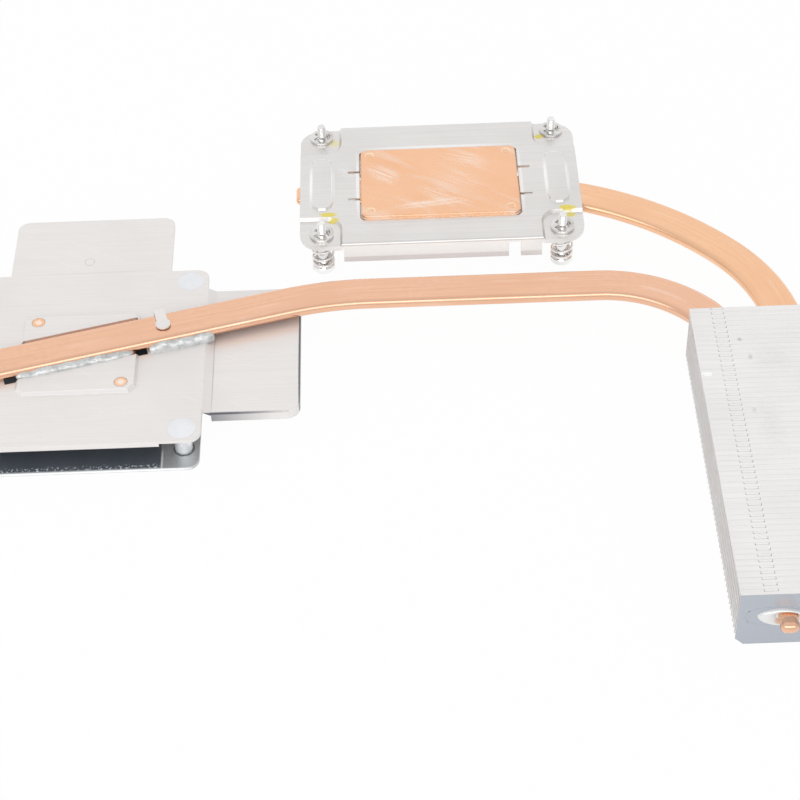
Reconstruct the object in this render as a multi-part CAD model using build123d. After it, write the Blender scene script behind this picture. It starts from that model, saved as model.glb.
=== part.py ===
from build123d import *
import os
from math import cos, radians, sin, tan

# Laptop heatsink: a processor block and a graphics plate, each on a flattened heat pipe,
# and both pipes end side by side in one stack of folded fins.
# The origin is the middle of the processor's contact face, +Z points out of that face,
# +X runs from the graphics plate to the fin stack, and all lengths are in millimetres.

# Heat pipes: a round copper tube pressed flat, crimped at one end and drawn to a neck at the other
pipe_width = 8.5
pipe_thick = 2.6
pipe_facets = 5
crimp_width = 5.0
crimp_thick = 2.0
crimp_taper = 2.4
crimp_length = 0.9
neck_width = 3.6
neck_thick = 2.5
neck_taper = 3.0
neck_length = 4.4
neck_aside = 2.6
end_bevel = 0.6

# Processor cold plate
cold_width = 36.0
cold_depth = 24.0
cold_thick = 2.0
cold_corner = 1.6
clinch_radius = 1.0
clinch_sink = 0.3
clinch_inset = 2.1

# Processor bracket, stamped from sheet
bracket_width = 64.0
bracket_depth = 41.8
bracket_offset = 0.6
bracket_sheet = 1.0
bracket_corner = 5.0
contact_proud = 0.8
stamp_slope = 35.0
opening_gap = 0.3
ledge_width = 2.6
tab_clearance = 0.6
slit_width = 0.8
slit_length = 2.6
pad_size = 9.6
pad_corner = 4.0
pad_drop = 0.8
rib_length = 18.6
rib_width = 5.4
rib_height = 0.5
rib_from_edge = 5.0
lip_height = 5.2
lip_from_corner = 9.8
lip_notch_from_corner = 14.5
lip_notch_width = 2.7
lip_bend = 0.8

# Captive screws, with a spring under the bracket and a clip above it
screw_from_side = 4.95
screw_from_front = 4.3
screw_from_rear = 2.7
thread_radius = 1.0
groove_radius = 0.75
shank_radius = 1.15
screw_hole_radius = 1.6
screw_proud = 2.8
head_radius = 2.5
head_height = 1.5
drive_width = 0.8
drive_length = 2.6
drive_depth = 0.7
clip_radius = 2.75
clip_thick = 0.6
clip_clearance = 0.05
clip_mouth = 1.3
spring_radius = 2.6
spring_wire = 0.55
spring_turns = 4
spring_steps = 6
spring_length = 7.1
spring_clearance = 0.02

# Graphics plate, stamped from thinner sheet
gpu_x = -79.3
gpu_y = -48.75
plate_width = 54.0
plate_depth = 52.5
plate_shift = -0.5
plate_sheet = 0.8
plate_corner = 2.6
tail_width = 35.8
tail_depth = 18.4
tail_shift = 0.6
wing_width = 18.6
wing_depth = 37.8
wing_shift = 0.7
wing_corner = 3.0
wing_drop = 1.0
wing_bend = 1.8
wing_lip = 2.4
front_lip = 1.6
front_lip_from_edge = 8.6
emboss_width = 25.8
emboss_depth = 24.4
emboss_corner = 1.6
emboss_rise = 0.8
window_near = 0.8
window_far = 1.9
window_start = -17.0
window_length = 31.0

# Strap: a tongue of the graphics plate folded over its pipe
strap_along = 18.6
strap_width = 2.4
strap_thick = 0.4
strap_head_radius = 1.65
strap_gap = 0.2

# Graphics cold plate, with two pegs that show through the emboss
chip_pad_thick = 2.4
chip_pad_clearance = 0.15
peg_radius = 1.45
peg_from_side = 2.35
peg_from_end = 1.6
seam = 0.05

# Graphics posts, back plate and insulating film
post_from_side = 4.0
post_from_end = 3.55
post_radius = 1.85
post_head_radius = 2.9
back_sheet = 0.8
back_inset_side = 0.7
back_inset_rear = 1.0
back_overhang = 1.9
film_from_side = 8.8
film_thick = 0.15
film_margin = 0.3

# Solder beads along the near side of the graphics pipe
edge_bead_width = 1.2
bead_height = 1.7
bead_gap = 0.1
pad_bead_start = -13.8
pad_bead_length = 23.9
edge_bead_start = 14.8
edge_bead_length = 14.0

# Fin stack, folded sheets whose notched flanges hook onto the next sheet
stack_left = 51.1
stack_width = 32.5
stack_far = -49.4
stack_height = 14.5
stack_below_pipe = 8.2
fin_count = 55
fin_pitch = 1.427
fin_sheet = 0.22
fin_joint = 0.02
fin_bevel = 1.7
fin_slot_gap = 0.35
hook_from_edge = 5.8
hook_width = 2.7
hook_depth = 0.6

# Solder collars where the pipes leave the last fin
collar_width = 11.2
collar_height = 5.0
collar_thick = 0.5
collar_gap = 0.25
collar_aside = 0.8

# Pipe routes: every bend turns to the right, seen from above
cpu_pipe_reach = 1.0
cpu_slot_from_left = 21.25
cpu_bend_radius = 70.2
cpu_bend_turn = 50.1
gpu_pipe_back = 21.0
gpu_pipe_shift = 0.7
gpu_slot_from_left = 6.5
gpu_run_rise = 13.9
gpu_slant = 14.7
gpu_slant_radius = 72.0
gpu_bend_radius = 28.8
gpu_bend_turn = 47.0
bend_entry = 2.0
neck_setback = 0.5

# Sides of the polygons that stand for small round pieces, to keep the mesh light
head_sides = 20
turned_sides = 12
hole_sides = 10

# Heights that follow from the sizes above
pipe_top = -cold_thick
pipe_z = pipe_top - pipe_thick / 2
pipe_bottom = pipe_top - pipe_thick
bracket_top = -contact_proud
bracket_under = bracket_top - bracket_sheet
ledge_top = -cold_thick
ledge_under = ledge_top - bracket_sheet
pad_top = bracket_top - pad_drop
pad_under = pad_top - bracket_sheet
clip_top = pad_top + clip_thick
spring_top = pad_under - spring_clearance
head_top = spring_top - spring_length - spring_clearance
plate_top = pipe_bottom
plate_under = plate_top - plate_sheet
emboss_top = plate_top + emboss_rise
wing_top = plate_top - wing_drop
wing_under = wing_top - plate_sheet
stack_bottom = pipe_z - stack_below_pipe
back_top = stack_bottom + back_sheet

# Places that follow from the sizes above
half_bracket = bracket_width / 2
bracket_front = bracket_offset - bracket_depth / 2
bracket_rear = bracket_offset + bracket_depth / 2
plate_left = gpu_x - plate_width / 2
plate_right = gpu_x + plate_width / 2
plate_y = gpu_y + plate_shift
plate_rear = plate_y + plate_depth / 2
plate_front = plate_y - plate_depth / 2
wing_right = plate_right + wing_bend + wing_width
wing_y = gpu_y + wing_shift
wing_front = wing_y - wing_depth / 2
wing_rear = wing_y + wing_depth / 2
stack_near = stack_far - fin_count * fin_pitch
cpu_slot_x = stack_left + cpu_slot_from_left
gpu_slot_x = stack_left + gpu_slot_from_left
bend_end = stack_far - bend_entry
neck_start = stack_near + neck_setback + neck_taper
back_depth = plate_depth - back_inset_rear + back_overhang
back_y = plate_front - back_overhang + back_depth / 2
gpu_pipe_y = gpu_y + gpu_pipe_shift
tab_half = pipe_width / 2 + tab_clearance


def slab(size_x, size_y, corner, low, high, x=0.0, y=0.0):
    """A flat plate with rounded corners between two heights."""
    return extrude(Pos(x, y, low) * RectangleRounded(size_x, size_y, corner), high - low)


def cut_corners(size_x, size_y, corner):
    """A rectangle with its corners cut off."""
    plain = Rectangle(size_x, size_y)
    return chamfer(plain.vertices(), corner)


def block(left, right, front, back, low, high):
    """A plain box between six planes."""
    middle = Pos((left + right) / 2, (front + back) / 2, (low + high) / 2)
    return middle * Box(right - left, back - front, high - low)


def bar(radius, sides, low, high, x=0.0, y=0.0):
    """An upright bar between two heights, with enough flat sides to read as round."""
    return extrude(Pos(x, y, low) * RegularPolygon(radius, sides), high - low)


def stamped(outline, start, depth):
    """A pressed step in sheet metal: it narrows along its sloped sides."""
    return extrude(Pos(0, 0, start) * outline, depth, taper=stamp_slope)


def step_inset(sheet):
    """How much smaller the inside of a pressed step is than its outside."""
    return sheet * tan(radians(stamp_slope / 2))


def flat_oval(width, thick):
    """A flattened tube's outline: two flats joined by faceted half rounds."""
    radius = thick / 2
    reach = width / 2 - radius
    points = []
    for side in (1, -1):
        for step in range(pipe_facets + 1):
            angle = radians(180 * step / pipe_facets - 90)
            points.append((side * (reach + radius * cos(angle)), side * radius * sin(angle)))
    return make_face(Polyline(points, close=True))


def tube_outline(x, y, heading, width=pipe_width, thick=pipe_thick):
    """The flattened tube's outline, square to a level heading in degrees."""
    ahead = (cos(radians(heading)), sin(radians(heading)), 0)
    left = (-sin(radians(heading)), cos(radians(heading)), 0)
    return Plane(origin=(x, y, pipe_z), x_dir=left, z_dir=ahead) * flat_oval(width, thick)


def sealed_end(x, y, heading, width, thick, taper, straight, aside=0.0):
    """Close a pipe: a taper from the full outline, a straight part set to the left and a bevelled tip."""
    outlines = [tube_outline(x, y, heading)]
    sizes = (
        (taper, width, thick),
        (taper + straight - end_bevel, width, thick),
        (taper + straight, width - 2 * end_bevel, thick - 2 * end_bevel),
    )
    for ahead, wide, high in sizes:
        step_x = x + ahead * cos(radians(heading)) - aside * sin(radians(heading))
        step_y = y + ahead * sin(radians(heading)) + aside * cos(radians(heading))
        outlines.append(tube_outline(step_x, step_y, heading, wide, high))
    return loft(outlines, ruled=True)


def pipe_run(x, y, heading, legs):
    """Follow straight legs and right-hand bends, each given as (length, radius, turn)."""
    run = None
    for length, radius, turn in legs:
        outline = tube_outline(x, y, heading)
        if turn:
            centre_x = x + radius * sin(radians(heading))
            centre_y = y - radius * cos(radians(heading))
            piece = revolve(outline, Axis((centre_x, centre_y, 0), (0, 0, -1)), turn)
            heading = heading - turn
            x = centre_x - radius * sin(radians(heading))
            y = centre_y + radius * cos(radians(heading))
        else:
            piece = extrude(outline, length)
            x = x + length * cos(radians(heading))
            y = y + length * sin(radians(heading))
        run = piece if run is None else run + piece
    return run


def last_bend_radius(drop, radius, turn):
    """The radius that finishes a right angle and uses up what is left of the drop."""
    return (drop - radius * (1 - cos(radians(turn)))) / cos(radians(turn))


def bend_reach(radius, turn, second):
    """How far ahead a two-radius right angle gets."""
    return radius * sin(radians(turn)) + second * (1 - sin(radians(turn)))


def make_pipe(start_x, start_y, heading, legs, exit_x):
    """A whole pipe: crimped end, route, and a necked end that leaves the last fin."""
    run = pipe_run(start_x, start_y, heading, legs)
    crimp = sealed_end(start_x, start_y, heading + 180, crimp_width, crimp_thick, crimp_taper, crimp_length)
    neck = sealed_end(exit_x, neck_start, -90, neck_width, neck_thick, neck_taper, neck_length, neck_aside)
    return run + crimp + neck


def make_cpu_pipe():
    """The processor's pipe: along the cold plate, then two bends into the stack."""
    start_x = -half_bracket - cpu_pipe_reach + crimp_taper + crimp_length
    second = last_bend_radius(-bend_end, cpu_bend_radius, cpu_bend_turn)
    straight = cpu_slot_x - bend_reach(cpu_bend_radius, cpu_bend_turn, second) - start_x
    legs = [
        (straight, 0, 0),
        (0, cpu_bend_radius, cpu_bend_turn),
        (0, second, 90 - cpu_bend_turn),
        (bend_end - neck_start, 0, 0),
    ]
    return make_pipe(start_x, 0.0, 0.0, legs, cpu_slot_x)


def make_gpu_pipe():
    """The graphics pipe: slanted over its plate, then level, then two bends into the stack."""
    start_x = gpu_x - gpu_pipe_back * cos(radians(gpu_slant))
    start_y = gpu_pipe_y - gpu_pipe_back * sin(radians(gpu_slant))
    run_y = gpu_pipe_y + gpu_run_rise
    tangent = gpu_slant_radius * tan(radians(gpu_slant / 2))
    corner_x = gpu_x + gpu_run_rise / tan(radians(gpu_slant))
    slanted = gpu_pipe_back + gpu_run_rise / sin(radians(gpu_slant)) - tangent
    second = last_bend_radius(run_y - bend_end, gpu_bend_radius, gpu_bend_turn)
    level = gpu_slot_x - bend_reach(gpu_bend_radius, gpu_bend_turn, second) - corner_x - tangent
    legs = [
        (slanted, 0, 0),
        (0, gpu_slant_radius, gpu_slant),
        (level, 0, 0),
        (0, gpu_bend_radius, gpu_bend_turn),
        (0, second, 90 - gpu_bend_turn),
        (bend_end - neck_start, 0, 0),
    ]
    return make_pipe(start_x, start_y, gpu_slant, legs, gpu_slot_x)


def screw_places():
    """Where the four captive screws stand, one after another."""
    x = half_bracket - screw_from_side
    rows = (bracket_front + screw_from_front, bracket_rear - screw_from_rear)
    return [(side * x, y) for side in (-1, 1) for y in rows]


def post_places():
    """Where the four posts stand, one after another."""
    x = plate_width / 2 - post_from_side
    y = plate_depth / 2 - post_from_end
    return [(gpu_x + side * x, plate_y + end * y) for side in (-1, 1) for end in (-1, 1)]


def chip_pad_size():
    """The copper pad fills the hollow under the raised middle."""
    run = emboss_rise * tan(radians(stamp_slope))
    less = 2 * (step_inset(plate_sheet) + run + chip_pad_clearance)
    return emboss_width - less, emboss_depth - less


def peg_places():
    """The two pegs sit in opposite corners of the copper pad."""
    size_x, size_y = chip_pad_size()
    peg_x = size_x / 2 - peg_from_side
    peg_y = size_y / 2 - peg_from_end
    return [(gpu_x - peg_x, gpu_y + peg_y), (gpu_x + peg_x, gpu_y - peg_y)]


def on_gpu_pipe(along):
    """A place on the slanted part of the graphics pipe, measured from beside the plate's middle."""
    slant = radians(gpu_slant)
    return Pos(gpu_x + along * cos(slant), gpu_pipe_y + along * sin(slant), 0) * Rot(0, 0, gpu_slant)


def make_cold_plate():
    """The copper plate that touches the processor, with four clinch marks."""
    plate = slab(cold_width, cold_depth, cold_corner, -cold_thick, 0)
    for side in (-1, 1):
        for end in (-1, 1):
            mark_x = side * (cold_width / 2 - clinch_inset)
            mark_y = end * (cold_depth / 2 - clinch_inset)
            plate -= bar(clinch_radius, hole_sides, -clinch_sink, 1, mark_x, mark_y)
    return plate


def make_bracket():
    """The sprung bracket: a joggled opening, four dropped pads, two ribs and a front lip."""
    outline = RectangleRounded(bracket_width, bracket_depth, bracket_corner)
    envelope = extrude(Pos(0, bracket_offset, 2 * ledge_under) * outline, -3 * ledge_under)
    sheet = extrude(Pos(0, bracket_offset, bracket_under) * outline, bracket_sheet)

    # the well that holds the cold plate by its rim
    half_x = cold_width / 2 + opening_gap
    half_y = cold_depth / 2 + opening_gap
    wall_x = half_x + bracket_sheet
    wall_y = half_y + bracket_sheet
    rim_x = cold_width / 2 - ledge_width
    rim_y = cold_depth / 2 - ledge_width
    opening = cut_corners(2 * half_x, 2 * half_y, cold_corner / 2)
    sheet += block(-wall_x, wall_x, -wall_y, wall_y, ledge_under, bracket_under)
    sheet -= extrude(Pos(0, 0, ledge_top) * opening, cold_thick)
    sheet -= block(-rim_x, rim_x, -rim_y, rim_y, 2 * ledge_under, 0)

    # room for the pipe under two tabs, with a slit at each side of a tab
    sheet -= block(-half_bracket, half_bracket, -tab_half, tab_half, 2 * ledge_under, bracket_under)
    for side in (-1, 1):
        for end in (-1, 1):
            slit_x = side * (half_x + slit_length / 2)
            slit_y = end * tab_half
            slit = Box(slit_length + opening_gap, slit_width, -4 * ledge_under)
            sheet -= Pos(slit_x, slit_y, ledge_under) * slit

    # dropped pads under the four screws
    for side in (-1, 1):
        for corner_y in (bracket_front, bracket_rear):
            corner = Pos(side * half_bracket, corner_y)
            wide = 2 * (pad_size + step_inset(bracket_sheet))
            boss = corner * cut_corners(wide, wide, pad_corner / 2)
            dent = corner * RectangleRounded(2 * pad_size, 2 * pad_size, pad_corner)
            sheet += stamped(boss, bracket_under, -pad_drop) & envelope
            sheet -= stamped(dent, bracket_top, -pad_drop)
    for screw_x, screw_y in screw_places():
        sheet -= bar(screw_hole_radius, hole_sides, 2 * pad_under, 0, screw_x, screw_y)

    # pressed ribs beside the opening
    inset = 2 * step_inset(bracket_sheet)
    for side in (-1, 1):
        rib_at = Pos(side * (half_bracket - rib_from_edge), bracket_offset) * Rot(0, 0, 90)
        sheet += stamped(rib_at * flat_oval(rib_length, rib_width), bracket_top, rib_height)
        hollow = cut_corners(rib_length - inset, rib_width - inset, rib_width / 4)
        sheet -= stamped(rib_at * hollow, bracket_under, rib_height)

    # folded lip along the front, with a notch
    lip_left = -half_bracket + lip_from_corner
    lip_right = half_bracket - lip_from_corner
    notch_right = half_bracket - lip_notch_from_corner
    lip_back = bracket_front + bracket_sheet
    lip_low = bracket_top - lip_height
    sheet += block(lip_left, notch_right - lip_notch_width, bracket_front, lip_back, lip_low, bracket_under)
    sheet += block(notch_right, lip_right, bracket_front, lip_back, lip_low, bracket_under)
    level = sheet.edges().filter_by(Axis.X).filter_by_position(Axis.Z, bracket_top - 0.01, bracket_top + 0.01)
    return fillet(level.filter_by_position(Axis.Y, bracket_front - 0.01, bracket_front + 0.01), lip_bend)


def make_screw(x, y):
    """A captive screw: a slotted head below, a clip groove, and a threaded tip above."""
    low = head_top - head_height
    groove_top = clip_top + clip_clearance
    groove_low = pad_top - clip_clearance
    screw = bar(head_radius, turned_sides, low, head_top)
    screw += bar(shank_radius, turned_sides, head_top, groove_low)
    screw += bar(groove_radius, turned_sides, groove_low, groove_top)
    screw += extrude(Pos(0, 0, groove_top) * Circle(thread_radius), bracket_top + screw_proud - groove_top)
    for turn in (0, 90):
        screw -= Pos(0, 0, low) * Rot(0, 0, turn) * Box(drive_length, drive_width, 2 * drive_depth)
    return Pos(x, y, 0) * screw


def make_clip(x, y):
    """The retaining clip in the screw's groove, open to one side."""
    bore = groove_radius + clip_clearance
    clip = bar(clip_radius, turned_sides, pad_top, clip_top) - bar(bore, turned_sides, 2 * pad_top, 0)
    clip -= block(0, 2 * clip_radius, -clip_mouth / 2, clip_mouth / 2, 2 * pad_top, 0)
    return Pos(x, y, 0) * clip


def make_spring(x, y):
    """The coil spring between the screw's head and the bracket, as short straight steps."""
    coil = spring_radius - spring_wire / 2
    low = spring_top - spring_length + spring_wire / 2
    steps = spring_turns * spring_steps
    rise = (spring_length - spring_wire) / steps
    turn = 360 / spring_steps
    wire = Pos(coil, 0, 0) * Rot(90, 0, 0) * Rectangle(spring_wire, spring_wire)
    cuts = [Pos(x, y, low + rise * step) * Rot(0, 0, turn * step) * wire for step in range(steps + 1)]
    return loft(cuts, ruled=True)


def make_strap():
    """The tongue that folds over the pipe and ends in a round tip on top of it."""
    low = pipe_top + strap_gap
    high = low + strap_thick
    wall = pipe_width / 2 + strap_gap
    top = block(-strap_width / 2, strap_width / 2, 0, wall + strap_thick, low, high)
    side = block(-strap_width / 2, strap_width / 2, wall, wall + strap_thick, plate_under, high)
    return on_gpu_pipe(strap_along) * (top + side + bar(strap_head_radius, turned_sides, low, high))


def make_wing():
    """The wing: it steps down from the plate and has a lip on two sides."""
    slope = Polyline(
        (plate_right, plate_top),
        (plate_right + wing_bend, wing_top),
        (plate_right + wing_bend, wing_under),
        (plate_right, plate_under),
        close=True,
    )
    step = extrude(Plane.XZ.offset(-wing_rear) * make_face(slope), wing_depth)
    long = wing_width + 2 * wing_corner
    lip_low = wing_top - wing_lip
    tray = slab(long, wing_depth, wing_corner, lip_low, wing_top, wing_right - long / 2, wing_y)
    hollow = cut_corners(2 * long, 2 * wing_depth, wing_corner / 2)
    hollow_at = Pos(wing_right - plate_sheet - long, wing_front + plate_sheet + wing_depth, wing_under)
    tray -= extrude(hollow_at * hollow, -wing_lip)
    tray -= block(plate_left, plate_right + wing_bend, plate_front, plate_rear, 2 * lip_low, 0)
    return step + tray


def make_gpu_plate():
    """The graphics plate: tail, stepped wing, front lip, raised middle and pipe window."""
    sheet = slab(plate_width, plate_depth, plate_corner, plate_under, plate_top, gpu_x, plate_y)
    tail_long = tail_depth + 2 * plate_corner
    tail_y = plate_rear + tail_depth - tail_long / 2
    sheet += slab(tail_width, tail_long, plate_corner, plate_under, plate_top, gpu_x + tail_shift, tail_y)
    sheet += make_wing()

    # raised middle over the copper pad, and a window for the pipe
    inset = 2 * step_inset(plate_sheet)
    raised = Pos(gpu_x, gpu_y) * cut_corners(emboss_width, emboss_depth, emboss_corner)
    hollow = Pos(gpu_x, gpu_y) * cut_corners(emboss_width - inset, emboss_depth - inset, emboss_corner)
    sheet += stamped(raised, plate_top, emboss_rise)
    sheet -= stamped(hollow, plate_under, emboss_rise)
    window_wide = pipe_width + window_near + window_far
    window_aside = (window_far - window_near) / 2
    window_at = on_gpu_pipe(window_start + window_length / 2) * Pos(0, window_aside, plate_top)
    sheet -= window_at * Box(window_length, window_wide, 4 * plate_sheet)
    for peg_x, peg_y in peg_places():
        sheet -= bar(peg_radius + seam, hole_sides, 2 * plate_under, 0, peg_x, peg_y)
    for post_x, post_y in post_places():
        sheet -= bar(post_head_radius + seam, head_sides, 2 * plate_under, 0, post_x, post_y)

    # front lip that stops short of the right-hand post
    lip_left = plate_left + plate_corner
    lip_right = plate_right - front_lip_from_edge
    lip_back = plate_front + plate_sheet
    sheet += block(lip_left, lip_right, plate_front, lip_back, plate_top - front_lip, plate_under)
    return sheet + make_strap()


def make_chip_pad():
    """The copper pad under the graphics plate, with its pegs."""
    size_x, size_y = chip_pad_size()
    outline = cut_corners(size_x, size_y, emboss_corner)
    pad = extrude(Pos(gpu_x, gpu_y, plate_top) * outline, -chip_pad_thick)
    for peg_x, peg_y in peg_places():
        pad += bar(peg_radius, hole_sides, plate_top, emboss_top, peg_x, peg_y)
    return pad


def make_post(x, y):
    """A post whose flat head sits flush in the graphics plate."""
    head = bar(post_head_radius, head_sides, plate_under, plate_top, x, y)
    return head + bar(post_radius, turned_sides, back_top, plate_under, x, y)


def make_back_plate():
    """The plate that the posts stand on, reaching out in front of the graphics plate."""
    wide = plate_width - 2 * back_inset_side
    return slab(wide, back_depth, plate_corner, stack_bottom, back_top, gpu_x, back_y)


def make_film():
    """The black insulating film on the back plate, between the posts."""
    half = plate_width / 2 - film_from_side
    deep = back_depth / 2 - film_margin
    return block(gpu_x - half, gpu_x + half, back_y - deep, back_y + deep, back_top, back_top + film_thick)


def make_bead(start, length, width):
    """A wedge of solder against the pipe's near side."""
    inner = -pipe_width / 2 - bead_gap
    wedge = Polyline(
        (inner - width, plate_top),
        (inner, plate_top),
        (inner, plate_top + bead_height),
        close=True,
    )
    return on_gpu_pipe(start) * extrude(Plane.YZ * make_face(wedge), length)


def make_fin():
    """One fin at the near end: a folded sheet with pipe slots, cut corners and notched flange."""
    reach = fin_pitch - fin_joint
    top = stack_bottom + stack_height
    fold = Polyline(
        (0, stack_bottom),
        (reach, stack_bottom),
        (reach, stack_bottom + fin_sheet),
        (fin_sheet, stack_bottom + fin_sheet),
        (fin_sheet, top - fin_sheet),
        (reach, top - fin_sheet),
        (reach, top),
        (0, top),
        close=True,
    )
    fin = extrude(Plane.YZ * make_face(fold), stack_width)
    slot_x = pipe_width / 2 + fin_slot_gap
    slot_z = pipe_thick / 2 + fin_slot_gap
    for middle in (gpu_slot_from_left, cpu_slot_from_left):
        left = middle - slot_x
        right = middle + slot_x
        fin -= block(left, right, -fin_pitch, fin_pitch, pipe_z - slot_z, pipe_z + slot_z)
    for edge, way in ((0, 1), (stack_width, -1)):
        left = edge + way * hook_from_edge - hook_width / 2
        right = left + hook_width
        fin -= block(left, right, reach - hook_depth, 2 * reach, top - 2 * fin_sheet, top + 1)
        diagonal = fin_bevel * 2 ** 0.5
        corner = Rot(0, 45, 0) * Box(diagonal, 4 * fin_pitch, diagonal)
        fin -= Pos(edge, 0, stack_bottom) * corner
    return Pos(stack_left, stack_near, 0) * fin


def make_stack():
    """The row of fins, one behind the other."""
    fin = make_fin()
    return Compound([(Pos(0, index * fin_pitch, 0) * fin).solid() for index in range(fin_count)])


def make_collar(slot_x):
    """The ring of solder on the last fin round a pipe's neck, which sits to one side of it."""
    ring = Pos(collar_aside, 0) * flat_oval(collar_width, collar_height)
    hole = Pos(neck_aside, 0) * flat_oval(neck_width + 2 * collar_gap, neck_thick + 2 * collar_gap)
    face = Plane(origin=(slot_x, stack_near, pipe_z), x_dir=(1, 0, 0), z_dir=(0, -1, 0))
    return extrude(face * (ring - hole), collar_thick)


nodes = {
    "cpu_bracket": make_bracket(),
    "cpu_cold_plate": make_cold_plate(),
    "cpu_heat_pipe": make_cpu_pipe(),
    "cpu_pipe_collar": make_collar(cpu_slot_x),
    "gpu_plate": make_gpu_plate(),
    "gpu_cold_plate": make_chip_pad(),
    "gpu_heat_pipe": make_gpu_pipe(),
    "gpu_pipe_collar": make_collar(gpu_slot_x),
    "gpu_back_plate": make_back_plate(),
    "gpu_film": make_film(),
    "gpu_bead_pad": make_bead(pad_bead_start, pad_bead_length, window_near - bead_gap),
    "gpu_bead_edge": make_bead(edge_bead_start, edge_bead_length, edge_bead_width),
    "fin_stack": make_stack(),
}
for number, (place_x, place_y) in enumerate(screw_places(), 1):
    nodes[f"cpu_screw_{number}"] = make_screw(place_x, place_y)
    nodes[f"cpu_clip_{number}"] = make_clip(place_x, place_y)
    nodes[f"cpu_spring_{number}"] = make_spring(place_x, place_y)
for number, (place_x, place_y) in enumerate(post_places(), 1):
    nodes[f"gpu_post_{number}"] = make_post(place_x, place_y)

os.makedirs("parts", exist_ok=True)
for name, shape in nodes.items():
    shape.label = name
    export_step(shape, f"parts/{name}.step")
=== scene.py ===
"""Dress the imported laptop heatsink: finishes, fine pieces, studio and camera, in one frame."""
import logging
import math
from collections.abc import Iterable
from dataclasses import dataclass, replace
from enum import Enum

import bmesh
import bpy
from mathutils import Matrix, Vector, noise


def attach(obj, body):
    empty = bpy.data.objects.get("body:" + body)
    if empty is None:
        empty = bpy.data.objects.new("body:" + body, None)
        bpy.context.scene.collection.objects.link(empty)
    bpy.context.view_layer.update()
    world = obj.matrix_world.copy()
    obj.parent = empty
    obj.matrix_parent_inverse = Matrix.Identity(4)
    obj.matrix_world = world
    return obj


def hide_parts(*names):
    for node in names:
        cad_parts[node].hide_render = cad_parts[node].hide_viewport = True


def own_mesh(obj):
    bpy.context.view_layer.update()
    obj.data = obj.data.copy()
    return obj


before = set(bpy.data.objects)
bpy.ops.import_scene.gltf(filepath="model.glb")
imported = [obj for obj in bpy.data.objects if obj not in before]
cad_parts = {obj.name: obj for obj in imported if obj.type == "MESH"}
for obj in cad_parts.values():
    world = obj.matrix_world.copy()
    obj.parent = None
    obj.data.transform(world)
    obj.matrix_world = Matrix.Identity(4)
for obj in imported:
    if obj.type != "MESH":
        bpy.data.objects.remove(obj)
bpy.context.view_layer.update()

LOG = logging.getLogger("heatsink")
MM = 0.001
BODY = "heatsink"
SHARP_ANGLE = math.radians(42)

Span = tuple[float, float]
Point = tuple[float, float, float]
Colour = tuple[float, float, float]
Station = tuple[float, float, float]
Ring = list[Vector]
Node = bpy.types.Node
Socket = bpy.types.NodeSocket
Material = bpy.types.Material


class Grain(Enum):
    """The direction that a surface was rolled or drawn in, as noise scales for each axis."""

    ALONG_X = (7.0, 420.0, 90.0)
    ALONG_TUBE = (9.0, 300.0, 1.0)


class Place(Enum):
    """What a finish's textures are laid out on."""

    PART = "Object"
    TUBE = "UV"


@dataclass(frozen=True)
class Mark:
    """A spot of ink, a fleck, a ring stamp, or a painted highlight or shade on a surface, laid out
    from above.

    Attributes:
        middle: its middle, x and y in millimetres.
        reach: its half length and half width in millimetres.
        colour: its colour.
        strength: how much of it covers the metal.
        turn: its turn in degrees.
        ring: how thick its line is as a share of its reach, or 0 for a filled spot.
        ragged: how uneven its edge is.
        soft: how wide its edge fades, as a share of its reach.
        streaked: whether it is broken into wipe streaks.
        levels: the lowest and highest place that it shows at, in millimetres, or None for all.
    """

    middle: Span
    reach: Span
    colour: Colour
    strength: float = 0.9
    turn: float = 0.0
    ring: float = 0.0
    ragged: float = 0.5
    soft: float = 0.3
    streaked: bool = False
    levels: Span | None = None


@dataclass(frozen=True)
class Patch:
    """Noise that shows as patches.

    Attributes:
        scale: how many cells it has to a unit of the coordinates.
        detail: its octaves.
        low: the noise value where a patch starts to show.
        high: the noise value where it shows fully.
        strength: how much it shows there.
    """

    scale: float
    detail: float
    low: float
    high: float
    strength: float = 1.0


@dataclass(frozen=True)
class Scratches:
    """Fine lines all in one direction.

    Attributes:
        turn: their direction in degrees.
        scale: the noise's scale along them, across them and upwards.
        low: the noise value where a line starts to show.
        high: the noise value where it shows fully.
    """

    turn: float
    scale: Point
    low: float
    high: float


MARK_EDGE_SCALE = 1400.0
MARK_FADE = 1.05
LEVEL_FADE = 0.1 * MM
STREAK_SCALE = (70.0, 1600.0, 1.0)
STREAKS = Patch(1.0, 3.0, 0.38, 0.62)
SCRATCH_BREAKS = Patch(160.0, 2.0, 0.42, 0.62)
BEVEL_SAMPLES = 6


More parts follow.
